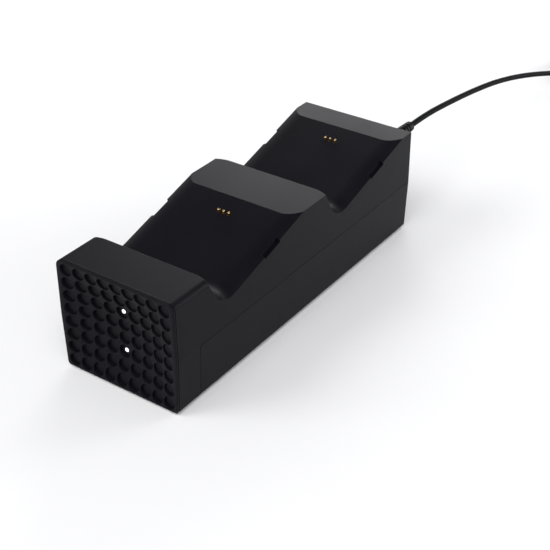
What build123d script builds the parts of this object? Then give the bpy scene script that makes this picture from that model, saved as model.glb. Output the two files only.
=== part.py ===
from build123d import *

import os
from math import asin, cos, degrees, pi, radians, sin, sqrt, tan

os.makedirs("parts", exist_ok=True)

# Charging dock for two game controllers, seen from the front along +Y.
# Sizes in millimetres, angles in degrees. Stations count backwards from the front rim.
# Heights count up from the casing's underside unless they are named as z.

# Casing
body_width = 67.0
body_height = 57.2
rear_block = 16.8
foot_proud = 1.0
wall = 2.2
parting_height = 27.9
upper_draft = 0.5
lower_draft = 2.0
cap_length = 16.4
ledge_edge_radius = 3.0
bottom_edge_radius = 1.5
rear_edge_radius = 0.6
seam_gap = 0.25
seam_depth = 0.5
lip_reach = 3.0
lip_thickness = 1.6
fit_gap = 0.1
slide_gap = 0.05

# Seats
ledge_depth = 25.2
seat_length = 64.4
bridge_length = 28.6
seat_slope = 15.9
drop_angle = 62.0
trough_radius = 10.0
margin_width = 8.0
margin_radius = 17.0
notch_front_run = 26.1
notch_length = 12.5
notch_width = 1.75
notch_depth = 1.2

# Dimpled front panel
flange_thickness = 1.0
flange_edge_radius = 0.45
groove_width = 1.2
groove_depth = 0.9
skirt_depth = 8.0
skirt_thickness = 1.5
dish_rim = 1.0
dish_depth = 5.16
panel_wall = 3.0
pit_pitch = 6.95
pit_margin = 1.0
pit_diameter = 5.7
pit_depth = 1.6
lens_diameter = 2.4
lens_sink = 0.2
lens_rows_from_edge = 2
guide_flange_diameter = 4.0
guide_flange_thickness = 1.0
guide_boss_wall = 0.8
guide_room = 3.0

# Indicator board behind the panel
indicator_station = 13.0
indicator_board_width = 44.0
indicator_board_height = 34.0
board_thickness = 1.6
indicator_screw_x = 18.0
indicator_screw_z = 13.0
indicator_boss_diameter = 5.0
led_size = 3.0
led_height = 0.9

# Seat contacts
contact_pitch = 3.0
contact_setback = 11.1
pin_tip_diameter = 1.4
pin_proud = 1.5
pin_travel = 1.2
pin_tail_diameter = 1.8
pin_tail_length = 2.0
barrel_diameter = 2.4
barrel_lip = 0.5
barrel_floor = 0.4
spring_room = 2.1
contact_board_width = 26.0
contact_board_length = 14.0
contact_board_thickness = 1.0
contact_screw_x = 9.5
contact_boss_diameter = 4.4

# Screws
small_screw_diameter = 2.0
small_head_diameter = 3.6
small_head_height = 1.4
small_screw_bite = 3.0
small_screw_bevel = 0.4
casing_screw_diameter = 3.0
casing_head_diameter = 5.6
casing_head_height = 2.2
casing_screw_bevel = 0.6
casing_screw_inset = 9.5
casing_screw_setback = 14.8
casing_screw_length = 15.0
casing_boss_diameter = 7.0
casing_tower_diameter = 9.0
tower_height = 15.0
counterbore_depth = 9.0
pilot_spare = 1.0

# Feet
foot_diameter = 12.0
foot_recess = 1.0
foot_inset = 10.5
front_foot_station = 24.5
rear_foot_setback = 22.4
foot_edge_radius = 0.4

# Main board
main_board_width = 36.0
main_board_length = 50.0
main_post_height = 6.0
main_post_diameter = 5.0
main_screw_side_inset = 3.5
main_screw_end_inset = 4.0

socket_size = (8.0, 5.0, 5.0)
socket_wall = 0.6
socket_floor = 1.0
ribbon_width = 6.0
ribbon_thickness = 0.8
ribbon_radius = 5.0
ribbon_rise = 12.0
ribbon_reach = 15.0
chip_size = 7.0
chip_gap = 7.0
chip_height = 1.4
chip_chamfer = 0.3
capacitor_diameter = 6.3
capacitor_gap = 2.5
capacitor_height = 7.5
capacitor_edge_radius = 0.5

# What stands on the main board, each as x and y from the board's middle
front_socket = (-7.5, -16.5)
rear_socket = (-2.0, 17.5)
indicator_socket = (6.0, -20.5)
lead_socket = (9.0, 16.0)
chip_place = (0.0, -4.0)
capacitor_place = (0.0, 6.0)

# Strain relief and lead
lead_diameter = 3.2
lead_clamp_setback = 2.0
lead_clamp_x = 10.0
lead_clamp_height = 6.5
lead_clamp_spread = 5.5
lead_clamp_length = 5.0
lead_clamp_thickness = 1.8
relief_inset = 11.1
relief_drop = 6.7
relief_length = 17.7
relief_root_diameter = 7.0
relief_tip_diameter = 5.6
relief_flange_diameter = 8.4
relief_neck_diameter = 6.2
relief_rib_count = 5
relief_rib_pitch = 2.5
relief_first_groove = 3.6
relief_flange_thickness = 1.5
relief_groove_width = 1.0
relief_groove_depth = 0.9

# Inside the casing the lead falls from the relief to its clamp
lead_turn_run = 12.5
lead_clamp_run = 14.0
lead_leave_run = 10.0
lead_socket_run = 7.5
upper_fall = (0.88, 0.733, 0.591)
lower_fall = (0.32, 0.471, 0.227)

# Points of the free lead after its straight exit, until it lies on the floor beside its coil:
# x from the relief, y from the back wall, and height over the floor
lead_straight = 18.0
lead_steps = [
    (0.2, 62.8, 48.7),
    (0.5, 93.3, 44.8),
    (1.4, 125.3, 39.7),
    (4.4, 156.3, 33.2),
    (9.6, 186.3, 25.5),
    (16.6, 214.3, 17.6),
    (24.6, 239.3, 10.4),
    (32.1, 261.3, 4.6),
    (37.1, 281.3, 1.6),
    (37.1, 298.3, 1.6),
]
tail_bend = 20.0
tail_run = 11.0

# Coil, tie and plug at the far end of the lead
coil_middle_radius = 19.2
coil_turns_wide = 3
coil_turns_high = 2
coil_stub = 12.5
tie_width = 6.0
tie_thickness = 0.6
plug_length = 23.0
plug_width = 15.6
plug_thickness = 9.0
plug_edge_radius = 1.6
plug_relief_length = 7.0
plug_relief_diameter = 5.4
shell_width = 12.0
shell_thickness = 4.5
shell_length = 12.0
shell_wall = 0.35
shell_window = 2.2
tongue_thickness = 1.8

# Derived places
seat_pitch = seat_length + bridge_length
body_length = ledge_depth + seat_pitch + seat_length + rear_block
front_y = -body_length / 2
rear_y = body_length / 2
parting_z = foot_proud + parting_height
top_z = foot_proud + body_height
casing_front = flange_thickness + groove_width
half_top = body_width / 2 - (body_height - parting_height) * tan(radians(upper_draft))
half_bottom = body_width / 2 - parting_height * tan(radians(lower_draft))
flat_half_width = half_top - margin_width
slope_cos = cos(radians(seat_slope))
slope_sin = sin(radians(seat_slope))
drop_cos = cos(radians(drop_angle))
drop_sin = sin(radians(drop_angle))
margin_drop = margin_radius - sqrt(margin_radius**2 - margin_width**2)
dish_centre_z = foot_proud + body_height / 2
dish_half_width = half_bottom - dish_rim
dish_half_height = body_height / 2 - dish_rim
pit_columns = 1 + int((2 * (half_bottom - pit_margin) - pit_diameter) / pit_pitch)
pit_rows = 1 + int((body_height - 2 * pit_margin - pit_diameter) / pit_pitch)
lens_rise_rows = (pit_rows - 1) / 2 - lens_rows_from_edge
small_pilot_diameter = small_screw_diameter + fit_gap
contact_board_depth = barrel_lip + pin_tail_length + pin_travel + spring_room + barrel_floor
seat_offsets = (0.0, seat_pitch)
casing_screw_x = body_width / 2 - casing_screw_inset
casing_screw_stations = (
    ledge_depth + casing_screw_setback,
    ledge_depth + seat_pitch + casing_screw_setback,
)
foot_x = body_width / 2 - foot_inset
foot_stations = (front_foot_station, body_length - rear_foot_setback)
main_board_station = (casing_screw_stations[0] + casing_screw_stations[1]) / 2
main_board_y = front_y + main_board_station
main_screw_x = main_board_width / 2 - main_screw_side_inset
main_screw_spacing = main_board_length - 2 * main_screw_end_inset
lead_clamp_station = casing_screw_stations[1] - lead_clamp_setback
relief_x = body_width / 2 - relief_inset
relief_height = body_height - relief_drop


def front_plane(station):
    """A plane across the body at a station, X to the right and its Y upwards from the underside."""
    return Plane(origin=(0, front_y + station, foot_proud), x_dir=(1, 0, 0), z_dir=(0, -1, 0))


def seat_plane(seat_offset, depth=0.0):
    """The plane of a seat's slope, origin at the crease, its Y up the slope, sunk by depth."""
    crease = Vector(0, front_y + ledge_depth + seat_length + seat_offset, top_z)
    normal = Vector(0, -slope_sin, slope_cos)
    return Plane(origin=crease - normal * depth, x_dir=(1, 0, 0), z_dir=normal)


def section_points(inset):
    """Corners of the body's cross-section drawn inwards by inset, anticlockwise from the bottom left."""
    low = half_bottom - inset
    middle = body_width / 2 - inset
    high = half_top - inset
    return [
        (-low, inset),
        (low, inset),
        (middle, parting_height),
        (high, body_height - inset),
        (-high, body_height - inset),
        (-middle, parting_height),
    ]


def plain_form(inset, first, last):
    """A length of the body without its seats, from one station to another, drawn inwards by inset."""
    with BuildPart() as form:
        with BuildSketch(front_plane(first)) as section:
            with BuildLine():
                Polyline(*section_points(inset), close=True)
            make_face()
            low_radius = bottom_edge_radius**2 / (bottom_edge_radius + inset)
            fillet(section.vertices().group_by(Axis.Y)[0], radius=low_radius)
        extrude(amount=-(last - first))
    return form.part


def rounded_form(inset, first, last):
    """The same with the ledge's long top edges rounded."""
    with BuildPart() as form:
        with BuildSketch(front_plane(first)) as section:
            with BuildLine():
                Polyline(*section_points(inset), close=True)
            make_face()
            low_radius = bottom_edge_radius**2 / (bottom_edge_radius + inset)
            fillet(section.vertices().group_by(Axis.Y)[0], radius=low_radius)
            high_radius = ledge_edge_radius**2 / (ledge_edge_radius + inset)
            fillet(section.vertices().group_by(Axis.Y)[-1], radius=high_radius)
        extrude(amount=-(last - first))
    return form.part


def seat_cutter(seat_offset, inset):
    """The space over one seat: a drop, a rounded trough and a slope whose side margins roll down."""
    reach = half_top + 1.5
    head = trough_radius * 0.8
    fill = head / 2
    run_out = 12.0
    rise_out = 6.0
    ledge_y = front_y + ledge_depth + seat_offset
    span = seat_length / (1 + (slope_sin / slope_cos) * (drop_cos / drop_sin))
    corner_y = ledge_y + seat_length - span
    corner_z = top_z - span * slope_sin / slope_cos
    slope_run = span / slope_cos + run_out
    drop_run = (top_z - corner_z) / drop_sin + rise_out
    start = (corner_y + slope_run * slope_cos, corner_z + slope_run * slope_sin)
    finish = (corner_y - drop_run * drop_cos, corner_z + drop_run * drop_sin)
    wedge = fill / sin(radians(180 - drop_angle - seat_slope))
    inner_y = corner_y + wedge * (slope_cos - drop_cos)
    inner_z = corner_z + wedge * (slope_sin + drop_sin)
    roll_angle = degrees(asin((reach - flat_half_width) / (margin_radius - inset)))
    with BuildPart() as cutter:
        with BuildLine(Plane.YZ) as path:
            FilletPolyline(start, (corner_y, corner_z), finish, radius=trough_radius)
        with BuildSketch(
            Plane(origin=(0, *start), x_dir=(1, 0, 0), z_dir=(0, -slope_cos, -slope_sin))
        ):
            with BuildLine():
                right = CenterArc((flat_half_width, -margin_radius), margin_radius - inset, 90, -roll_angle)
                left = CenterArc((-flat_half_width, -margin_radius), margin_radius - inset, 90, roll_angle)
                Line(left @ 0, right @ 0)
                Polyline(right @ 1, (reach, head), (-reach, head), left @ 1)
            make_face()
        sweep(path=path.wires()[0])
        with BuildSketch(Plane.YZ):
            with BuildLine():
                Polyline(
                    (inner_y, inner_z),
                    (inner_y + slope_run * slope_cos, inner_z + slope_run * slope_sin),
                    (inner_y - drop_run * drop_cos, inner_z + drop_run * drop_sin),
                    close=True,
                )
            make_face()
        extrude(amount=reach, both=True)
    return cutter.part


def body_form(inset, first, last):
    """The closed outer form of the body with both seats cut, drawn inwards by inset."""
    split_station = ledge_depth + ledge_edge_radius
    with BuildPart() as form:
        add(rounded_form(inset, first, split_station))
        add(plain_form(inset, split_station, last))
        if inset == 0:
            fillet(form.faces().sort_by(Axis.Y)[-1].edges(), radius=rear_edge_radius)
        for seat_offset in seat_offsets:
            add(seat_cutter(seat_offset, inset), mode=Mode.SUBTRACT)
    return form.part


def dish_patch(setback):
    """The dished face of the panel, moved back by setback. It is flush with the rim all round."""
    y = front_y + setback
    pull = 4 * dish_depth
    columns = (-dish_half_width, 0, dish_half_width)
    rows = (dish_centre_z - dish_half_height, dish_centre_z, dish_centre_z + dish_half_height)
    points = [
        [(x, y + (pull if x == 0 and z == dish_centre_z else 0), z) for z in rows] for x in columns
    ]
    return Face.make_bezier_surface(points)


def wall_depth(x, rise):
    """Depth of the dished face behind the rim at x across and rise above its centre."""
    across = 1 - (x / dish_half_width) ** 2
    upright = 1 - (rise / dish_half_height) ** 2
    return dish_depth * across * upright


# Solid forms that several pieces share
outer_form = body_form(0, casing_front, body_length)
cavity_form = body_form(wall, casing_front - wall, body_length - wall)
boss_form = body_form(wall / 2, casing_front, body_length - wall / 2)

# Rim joint of the two casings: a tongue on the lower rim stands in a rebate of the upper one
rim_height = 1.5
rim_inset = wall / 2
rim_first = cap_length + wall

with BuildPart() as rim_tongue:
    add(plain_form(rim_inset + fit_gap / 2, rim_first, body_length - rim_inset - fit_gap / 2))
    add(plain_form(wall, cap_length, body_length - wall), mode=Mode.SUBTRACT)
    with BuildSketch(Plane.XY.offset(parting_z - wall)):
        Rectangle(body_width * 2, body_length * 2)
    extrude(amount=wall + rim_height, mode=Mode.INTERSECT)

with BuildPart() as rim_rebate:
    add(plain_form(rim_inset - fit_gap / 2, rim_first - fit_gap, body_length - rim_inset + fit_gap / 2))
    with BuildSketch(Plane.XY.offset(parting_z - wall)):
        Rectangle(body_width * 2, body_length * 2)
    extrude(amount=wall + rim_height + fit_gap, mode=Mode.INTERSECT)

# Bosses under the seats, cut to the underside of the skin
with BuildPart() as upper_bosses:
    with BuildSketch(Plane.XY.offset(foot_proud + tower_height)):
        for screw_station in casing_screw_stations:
            with Locations((0, front_y + screw_station)):
                with GridLocations(2 * casing_screw_x, 0, 2, 1):
                    Circle(casing_boss_diameter / 2)
    extrude(amount=body_height - tower_height)
    for seat_offset in seat_offsets:
        with BuildSketch(seat_plane(seat_offset, contact_board_depth)):
            with Locations((0, -contact_setback)):
                with GridLocations(2 * contact_screw_x, 0, 2, 1):
                    Circle(contact_boss_diameter / 2)
        extrude(amount=contact_board_depth)
    add(boss_form, mode=Mode.INTERSECT)

# Upper casing: both seats, the sides down to the parting line and the ring round the front
with BuildPart() as upper_casing:
    add(outer_form)
    add(cavity_form, mode=Mode.SUBTRACT)
    with BuildSketch(Plane.YZ):
        with Locations((front_y + cap_length, parting_z)):
            Rectangle(body_length, body_height, align=(Align.MIN, Align.MAX))
    extrude(amount=body_width, both=True, mode=Mode.SUBTRACT)
    add(rim_rebate.part, mode=Mode.SUBTRACT)
    add(upper_bosses.part)
    for seat_offset in seat_offsets:
        # slots in both long edges of the slope
        with BuildSketch(seat_plane(seat_offset, margin_drop + notch_depth)):
            with Locations((0, -notch_front_run)):
                with GridLocations(2 * half_top, 0, 2, 1):
                    Rectangle(2 * notch_width, notch_length, align=(Align.CENTER, Align.MIN))
        extrude(amount=2 * (margin_drop + notch_depth), mode=Mode.SUBTRACT)
        # holes for the three contacts and the pilots of their board's screws
        with BuildSketch(seat_plane(seat_offset, contact_board_depth)):
            with Locations((0, -contact_setback)):
                with GridLocations(contact_pitch, 0, 3, 1):
                    Circle(barrel_diameter / 2 + slide_gap)
        extrude(amount=contact_board_depth + wall, mode=Mode.SUBTRACT)
        with BuildSketch(seat_plane(seat_offset, contact_board_depth)):
            with Locations((0, -contact_setback)):
                with GridLocations(2 * contact_screw_x, 0, 2, 1):
                    Circle(small_pilot_diameter / 2)
        extrude(amount=small_screw_bite + 2 * fit_gap, mode=Mode.SUBTRACT)
    # pilots of the casing screws
    with BuildSketch(Plane.XY.offset(foot_proud + tower_height)):
        for screw_station in casing_screw_stations:
            with Locations((0, front_y + screw_station)):
                with GridLocations(2 * casing_screw_x, 0, 2, 1):
                    Circle(casing_screw_diameter / 2 + fit_gap)
    extrude(amount=casing_screw_length - tower_height + counterbore_depth + pilot_spare, mode=Mode.SUBTRACT)
    # hole in the back wall for the strain relief's neck
    with BuildSketch(front_plane(body_length - wall - 1)):
        with Locations((relief_x, relief_height)):
            Circle(relief_neck_diameter / 2 + slide_gap)
    extrude(amount=-(wall + 2), mode=Mode.SUBTRACT)
upper_casing.part.label = "upper_casing"
export_step(upper_casing.part, "parts/upper_casing.step")

# Lower casing: the tray under the parting line, with screw towers, board posts and foot recesses
post_locations = (2 * main_screw_x, main_screw_spacing)
with BuildPart() as lower_casing:
    add(plain_form(0, cap_length, body_length))
    fillet(lower_casing.faces().sort_by(Axis.Y)[-1].edges(), radius=rear_edge_radius)
    add(plain_form(wall, cap_length - wall, body_length - wall), mode=Mode.SUBTRACT)
    with BuildSketch(Plane.XY.offset(parting_z)):
        Rectangle(body_width * 2, body_length * 2)
    extrude(amount=body_height, mode=Mode.SUBTRACT)
    # shadow line all along the parting and round the front ring
    with BuildSketch(Plane.XY.offset(parting_z)):
        Rectangle(body_width * 2, body_length * 2)
        with Locations((0, front_y + body_length / 2)):
            Rectangle(
                body_width - 2 * seam_depth, body_length - 2 * seam_depth, mode=Mode.SUBTRACT
            )
    extrude(amount=-seam_gap, mode=Mode.SUBTRACT)
    with BuildSketch(front_plane(cap_length)):
        with Locations((0, body_height / 2)):
            Rectangle(body_width * 2, body_height * 2)
        with BuildLine():
            Polyline(*section_points(seam_depth), close=True)
        make_face(mode=Mode.SUBTRACT)
    extrude(amount=-seam_gap, mode=Mode.SUBTRACT)
    add(rim_tongue.part)
    # lip that lies on the floor of the front ring
    with BuildSketch(front_plane(cap_length - lip_reach)):
        with Locations((0, wall + fit_gap)):
            Rectangle(2 * foot_x, lip_thickness, align=(Align.CENTER, Align.MIN))
    extrude(amount=-2 * lip_reach)
    with BuildSketch(front_plane(cap_length)):
        with Locations((0, wall / 2)):
            Rectangle(2 * foot_x, wall / 2 + fit_gap, align=(Align.CENTER, Align.MIN))
    extrude(amount=-lip_reach)
    # screw towers and board posts
    with BuildSketch(Plane.XY.offset(foot_proud + wall / 2)):
        for screw_station in casing_screw_stations:
            with Locations((0, front_y + screw_station)):
                with GridLocations(2 * casing_screw_x, 0, 2, 1):
                    Circle(casing_tower_diameter / 2)
    extrude(amount=tower_height - wall / 2)
    with BuildSketch(Plane.XY.offset(foot_proud + wall / 2)):
        with Locations((0, main_board_y)):
            with GridLocations(*post_locations, 2, 2):
                Circle(main_post_diameter / 2)
    extrude(amount=main_post_height + wall / 2)
    # two posts and a saddle rib under the lead's clamp
    with BuildSketch(Plane.XY.offset(foot_proud + wall / 2)):
        with Locations((lead_clamp_x, front_y + lead_clamp_station)):
            with GridLocations(2 * lead_clamp_spread, 0, 2, 1):
                Circle(main_post_diameter / 2)
    extrude(amount=lead_clamp_height + lead_diameter / 4 - wall / 2)
    with BuildSketch(Plane.XY.offset(foot_proud + wall / 2)):
        with Locations((lead_clamp_x, front_y + lead_clamp_station)):
            Rectangle(2 * lead_clamp_spread, lead_clamp_length / 2)
    extrude(amount=lead_clamp_height - lead_diameter / 2 - wall / 2 - slide_gap)
    with BuildSketch(Plane.XY.offset(foot_proud + lead_clamp_height + lead_diameter / 4)):
        with Locations((lead_clamp_x, front_y + lead_clamp_station)):
            with GridLocations(2 * lead_clamp_spread, 0, 2, 1):
                Circle(small_pilot_diameter / 2)
    extrude(amount=-(small_screw_bite + 2 * fit_gap), mode=Mode.SUBTRACT)
    with BuildSketch(Plane.XY.offset(foot_proud)):
        for screw_station in casing_screw_stations:
            with Locations((0, front_y + screw_station)):
                with GridLocations(2 * casing_screw_x, 0, 2, 1):
                    Circle(casing_head_diameter / 2 + 4 * fit_gap)
    extrude(amount=counterbore_depth, mode=Mode.SUBTRACT)
    with BuildSketch(Plane.XY.offset(foot_proud)):
        for screw_station in casing_screw_stations:
            with Locations((0, front_y + screw_station)):
                with GridLocations(2 * casing_screw_x, 0, 2, 1):
                    Circle(casing_screw_diameter / 2 + 2 * fit_gap)
    extrude(amount=tower_height, mode=Mode.SUBTRACT)
    with BuildSketch(Plane.XY.offset(foot_proud + wall + main_post_height)):
        with Locations((0, main_board_y)):
            with GridLocations(*post_locations, 2, 2):
                Circle(small_pilot_diameter / 2)
    extrude(amount=-(small_screw_bite + 2 * fit_gap), mode=Mode.SUBTRACT)
    # recesses for the rubber feet
    with BuildSketch(Plane.XY.offset(foot_proud)):
        for foot_station in foot_stations:
            with Locations((0, front_y + foot_station)):
                with GridLocations(2 * foot_x, 0, 2, 1):
                    Circle(foot_diameter / 2 + fit_gap)
    extrude(amount=foot_recess, mode=Mode.SUBTRACT)
lower_casing.part.label = "lower_casing"
export_step(lower_casing.part, "parts/lower_casing.step")

with BuildPart() as feet:
    with BuildSketch():
        for foot_station in foot_stations:
            with Locations((0, front_y + foot_station)):
                with GridLocations(2 * foot_x, 0, 2, 1):
                    Circle(foot_diameter / 2)
    extrude(amount=foot_proud + foot_recess)
    fillet(feet.faces().filter_by(Plane.XY).group_by(Axis.Z)[0].edges(), radius=foot_edge_radius)
feet.part.label = "feet"
export_step(feet.part, "parts/feet.step")

# Screw profiles turned about their own axes: head below, shank above
with BuildPart() as casing_screw:
    with BuildSketch(Plane.XZ):
        with BuildLine():
            Polyline(
                (0, -casing_head_height),
                (casing_head_diameter / 2 - casing_screw_bevel, -casing_head_height),
                (casing_head_diameter / 2, -casing_head_height + casing_screw_bevel),
                (casing_head_diameter / 2, 0),
                (casing_screw_diameter / 2, 0),
                (casing_screw_diameter / 2, casing_screw_length - casing_screw_bevel),
                (casing_screw_diameter / 2 - casing_screw_bevel, casing_screw_length),
                (0, casing_screw_length),
                close=True,
            )
        make_face()
    revolve(axis=Axis.Z)

small_screw_length = small_screw_bite + contact_board_thickness
with BuildPart() as small_screw:
    with BuildSketch(Plane.XZ):
        with BuildLine():
            Polyline(
                (0, -small_head_height),
                (small_head_diameter / 2 - small_screw_bevel, -small_head_height),
                (small_head_diameter / 2, -small_head_height + small_screw_bevel),
                (small_head_diameter / 2, 0),
                (small_screw_diameter / 2, 0),
                (small_screw_diameter / 2, small_screw_length - small_screw_bevel),
                (small_screw_diameter / 2 - small_screw_bevel, small_screw_length),
                (0, small_screw_length),
                close=True,
            )
        make_face()
    revolve(axis=Axis.Z)

with BuildPart() as casing_screws:
    for screw_station in casing_screw_stations:
        with Locations((0, front_y + screw_station, foot_proud + counterbore_depth)):
            with GridLocations(2 * casing_screw_x, 0, 2, 1):
                add(casing_screw.part)
casing_screws.part.label = "casing_screws"
export_step(casing_screws.part, "parts/casing_screws.step")

# Contact boards and their screws under each slope
for seat_name, seat_offset in zip(("front", "rear"), seat_offsets):
    with BuildPart() as contact_board:
        with BuildSketch(seat_plane(seat_offset, contact_board_depth)) as board_outline:
            with Locations((0, -contact_setback)):
                RectangleRounded(contact_board_width, contact_board_length, radius=1.0)
                with GridLocations(2 * contact_screw_x, 0, 2, 1):
                    Circle(small_screw_diameter / 2 + fit_gap, mode=Mode.SUBTRACT)
        extrude(amount=-contact_board_thickness)
    contact_board.part.label = "contact_board_" + seat_name
    export_step(contact_board.part, "parts/contact_board_" + seat_name + ".step")

    with BuildPart() as contact_screws:
        with Locations(seat_plane(seat_offset, contact_board_depth + contact_board_thickness)):
            with Locations((0, -contact_setback)):
                with GridLocations(2 * contact_screw_x, 0, 2, 1):
                    add(small_screw.part)
    contact_screws.part.label = "contact_screws_" + seat_name
    export_step(contact_screws.part, "parts/contact_screws_" + seat_name + ".step")

    # barrels soldered on the board, with a lip at the mouth that holds the pin in
    with BuildPart() as contact_barrels:
        with BuildSketch(seat_plane(seat_offset, contact_board_depth)):
            with Locations((0, -contact_setback)):
                with GridLocations(contact_pitch, 0, 3, 1):
                    Circle(barrel_diameter / 2)
        extrude(amount=contact_board_depth)
        with BuildSketch(seat_plane(seat_offset, contact_board_depth - barrel_floor)):
            with Locations((0, -contact_setback)):
                with GridLocations(contact_pitch, 0, 3, 1):
                    Circle(pin_tail_diameter / 2 + slide_gap)
        extrude(amount=contact_board_depth - barrel_floor - barrel_lip, mode=Mode.SUBTRACT)
        with BuildSketch(seat_plane(seat_offset, barrel_lip)):
            with Locations((0, -contact_setback)):
                with GridLocations(contact_pitch, 0, 3, 1):
                    Circle(pin_tip_diameter / 2 + slide_gap)
        extrude(amount=barrel_lip, mode=Mode.SUBTRACT)
    contact_barrels.part.label = "contact_barrels_" + seat_name
    export_step(contact_barrels.part, "parts/contact_barrels_" + seat_name + ".step")

    # sprung pins, each a separate moving piece with a domed tip
    for pin_name, pin_x in zip(("left", "centre", "right"), (-contact_pitch, 0, contact_pitch)):
        pin_plane = seat_plane(seat_offset).shift_origin(
            seat_plane(seat_offset).from_local_coords((pin_x, -contact_setback, 0))
        )
        with BuildPart() as contact_pin:
            with BuildSketch(pin_plane.offset(-barrel_lip - slide_gap)):
                Circle(pin_tail_diameter / 2)
            extrude(amount=-pin_tail_length)
            with BuildSketch(pin_plane.offset(-barrel_lip - slide_gap)):
                Circle(pin_tip_diameter / 2)
            extrude(amount=barrel_lip + slide_gap + pin_proud)
            fillet(
                contact_pin.edges().filter_by(GeomType.CIRCLE).sort_by(Axis.Z)[-1],
                radius=pin_tip_diameter * 0.4,
            )
        contact_pin.part.label = "contact_pin_" + seat_name + "_" + pin_name
        export_step(contact_pin.part, "parts/contact_pin_" + seat_name + "_" + pin_name + ".step")

# Front panel: a thin flange on a neck that leaves the shadow groove, a skirt in the casing's mouth,
# a dished wall and a grid of round pits
skirt_inset = wall + fit_gap
panel_length = casing_front + skirt_depth
lens_rises = (lens_rise_rows * pit_pitch, -lens_rise_rows * pit_pitch)

with BuildPart() as panel_hollow:
    add(plain_form(skirt_inset + skirt_thickness, 0, panel_length + indicator_station))
    extrude(dish_patch(panel_wall), amount=2 * body_length, dir=(0, 1, 0), mode=Mode.INTERSECT)

with BuildPart() as panel_bosses:
    with BuildSketch(front_plane(0)):
        with Locations((0, body_height / 2)):
            with GridLocations(2 * indicator_screw_x, 2 * indicator_screw_z, 2, 2):
                Circle(indicator_boss_diameter / 2)
            with GridLocations(0, 2 * lens_rises[0], 1, 2):
                Circle(guide_flange_diameter / 2 + guide_boss_wall)
    extrude(amount=-indicator_station)
    extrude(
        dish_patch(panel_wall - (panel_wall - pit_depth) / 2),
        amount=2 * body_length,
        dir=(0, 1, 0),
        mode=Mode.INTERSECT,
    )
    with BuildSketch(front_plane(indicator_station)):
        with Locations((0, body_height / 2)):
            with GridLocations(0, 2 * lens_rises[0], 1, 2):
                Circle(guide_flange_diameter / 2 + guide_boss_wall + fit_gap)
    extrude(amount=led_height + guide_room, mode=Mode.SUBTRACT)
    with BuildSketch(front_plane(indicator_station)):
        with Locations((0, body_height / 2)):
            with GridLocations(2 * indicator_screw_x, 2 * indicator_screw_z, 2, 2):
                Circle(small_pilot_diameter / 2)
    extrude(amount=small_screw_bite + fit_gap, mode=Mode.SUBTRACT)

with BuildPart() as panel_pits:
    with BuildSketch(front_plane(-pit_depth)):
        with Locations((0, body_height / 2)):
            with GridLocations(pit_pitch, pit_pitch, pit_columns, pit_rows):
                Circle(pit_diameter / 2)
    extrude(amount=-(dish_depth + 3 * pit_depth))
    extrude(dish_patch(pit_depth), amount=2 * body_length, dir=(0, -1, 0), mode=Mode.INTERSECT)

with BuildPart() as front_panel:
    add(rounded_form(0, 0, flange_thickness))
    fillet(front_panel.faces().sort_by(Axis.Y)[0].edges(), radius=flange_edge_radius)
    add(rounded_form(groove_depth, flange_thickness, casing_front))
    add(rounded_form(skirt_inset, casing_front, panel_length))
    add(panel_hollow.part, mode=Mode.SUBTRACT)
    extrude(dish_patch(0), amount=body_length, dir=(0, -1, 0), mode=Mode.SUBTRACT)
    add(panel_bosses.part)
    add(panel_pits.part, mode=Mode.SUBTRACT)
    with BuildSketch(front_plane(0)):
        with Locations((0, body_height / 2)):
            with GridLocations(0, 2 * lens_rises[0], 1, 2):
                Circle(lens_diameter / 2 + fit_gap)
    extrude(amount=-indicator_station, mode=Mode.SUBTRACT)
front_panel.part.label = "front_panel"
export_step(front_panel.part, "parts/front_panel.step")

# Light guides: a lens in the floor of a pit, a flange behind the wall and a stub down to the lamp
guide_shoulder = indicator_station - led_height - guide_room
lens_front = wall_depth(0, lens_rises[0]) + pit_depth + lens_sink
for guide_name, lens_rise in zip(("upper", "lower"), lens_rises):
    with BuildPart() as light_guide:
        with BuildSketch(front_plane(lens_front)):
            with Locations((0, body_height / 2 + lens_rise)):
                Circle(lens_diameter / 2)
        extrude(amount=-(indicator_station - led_height - fit_gap - lens_front))
        fillet(light_guide.faces().sort_by(Axis.Y)[0].edges(), radius=lens_diameter / 8)
        with BuildSketch(front_plane(guide_shoulder)):
            with Locations((0, body_height / 2 + lens_rise)):
                Circle(guide_flange_diameter / 2)
        extrude(amount=-guide_flange_thickness)
    light_guide.part.label = "light_guide_" + guide_name
    export_step(light_guide.part, "parts/light_guide_" + guide_name + ".step")

# Indicator board on the panel's bosses, with a lamp behind each light guide
with BuildPart() as indicator_board:
    with BuildSketch(front_plane(indicator_station)):
        with Locations((0, body_height / 2)):
            RectangleRounded(indicator_board_width, indicator_board_height, radius=2.0)
            with GridLocations(2 * indicator_screw_x, 2 * indicator_screw_z, 2, 2):
                Circle(small_screw_diameter / 2 + fit_gap, mode=Mode.SUBTRACT)
    extrude(amount=-board_thickness)
indicator_board.part.label = "indicator_board"
export_step(indicator_board.part, "parts/indicator_board.step")

with BuildPart() as indicator_lamps:
    with BuildSketch(front_plane(indicator_station)):
        with Locations((0, body_height / 2)):
            with GridLocations(0, 2 * lens_rises[0], 1, 2):
                Rectangle(led_size, led_size)
    extrude(amount=led_height)
indicator_lamps.part.label = "indicator_lamps"
export_step(indicator_lamps.part, "parts/indicator_lamps.step")

with BuildPart() as indicator_screws:
    with Locations(front_plane(indicator_station + board_thickness)):
        with Locations((0, body_height / 2)):
            with GridLocations(2 * indicator_screw_x, 2 * indicator_screw_z, 2, 2):
                add(small_screw.part)
indicator_screws.part.label = "indicator_screws"
export_step(indicator_screws.part, "parts/indicator_screws.step")

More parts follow.
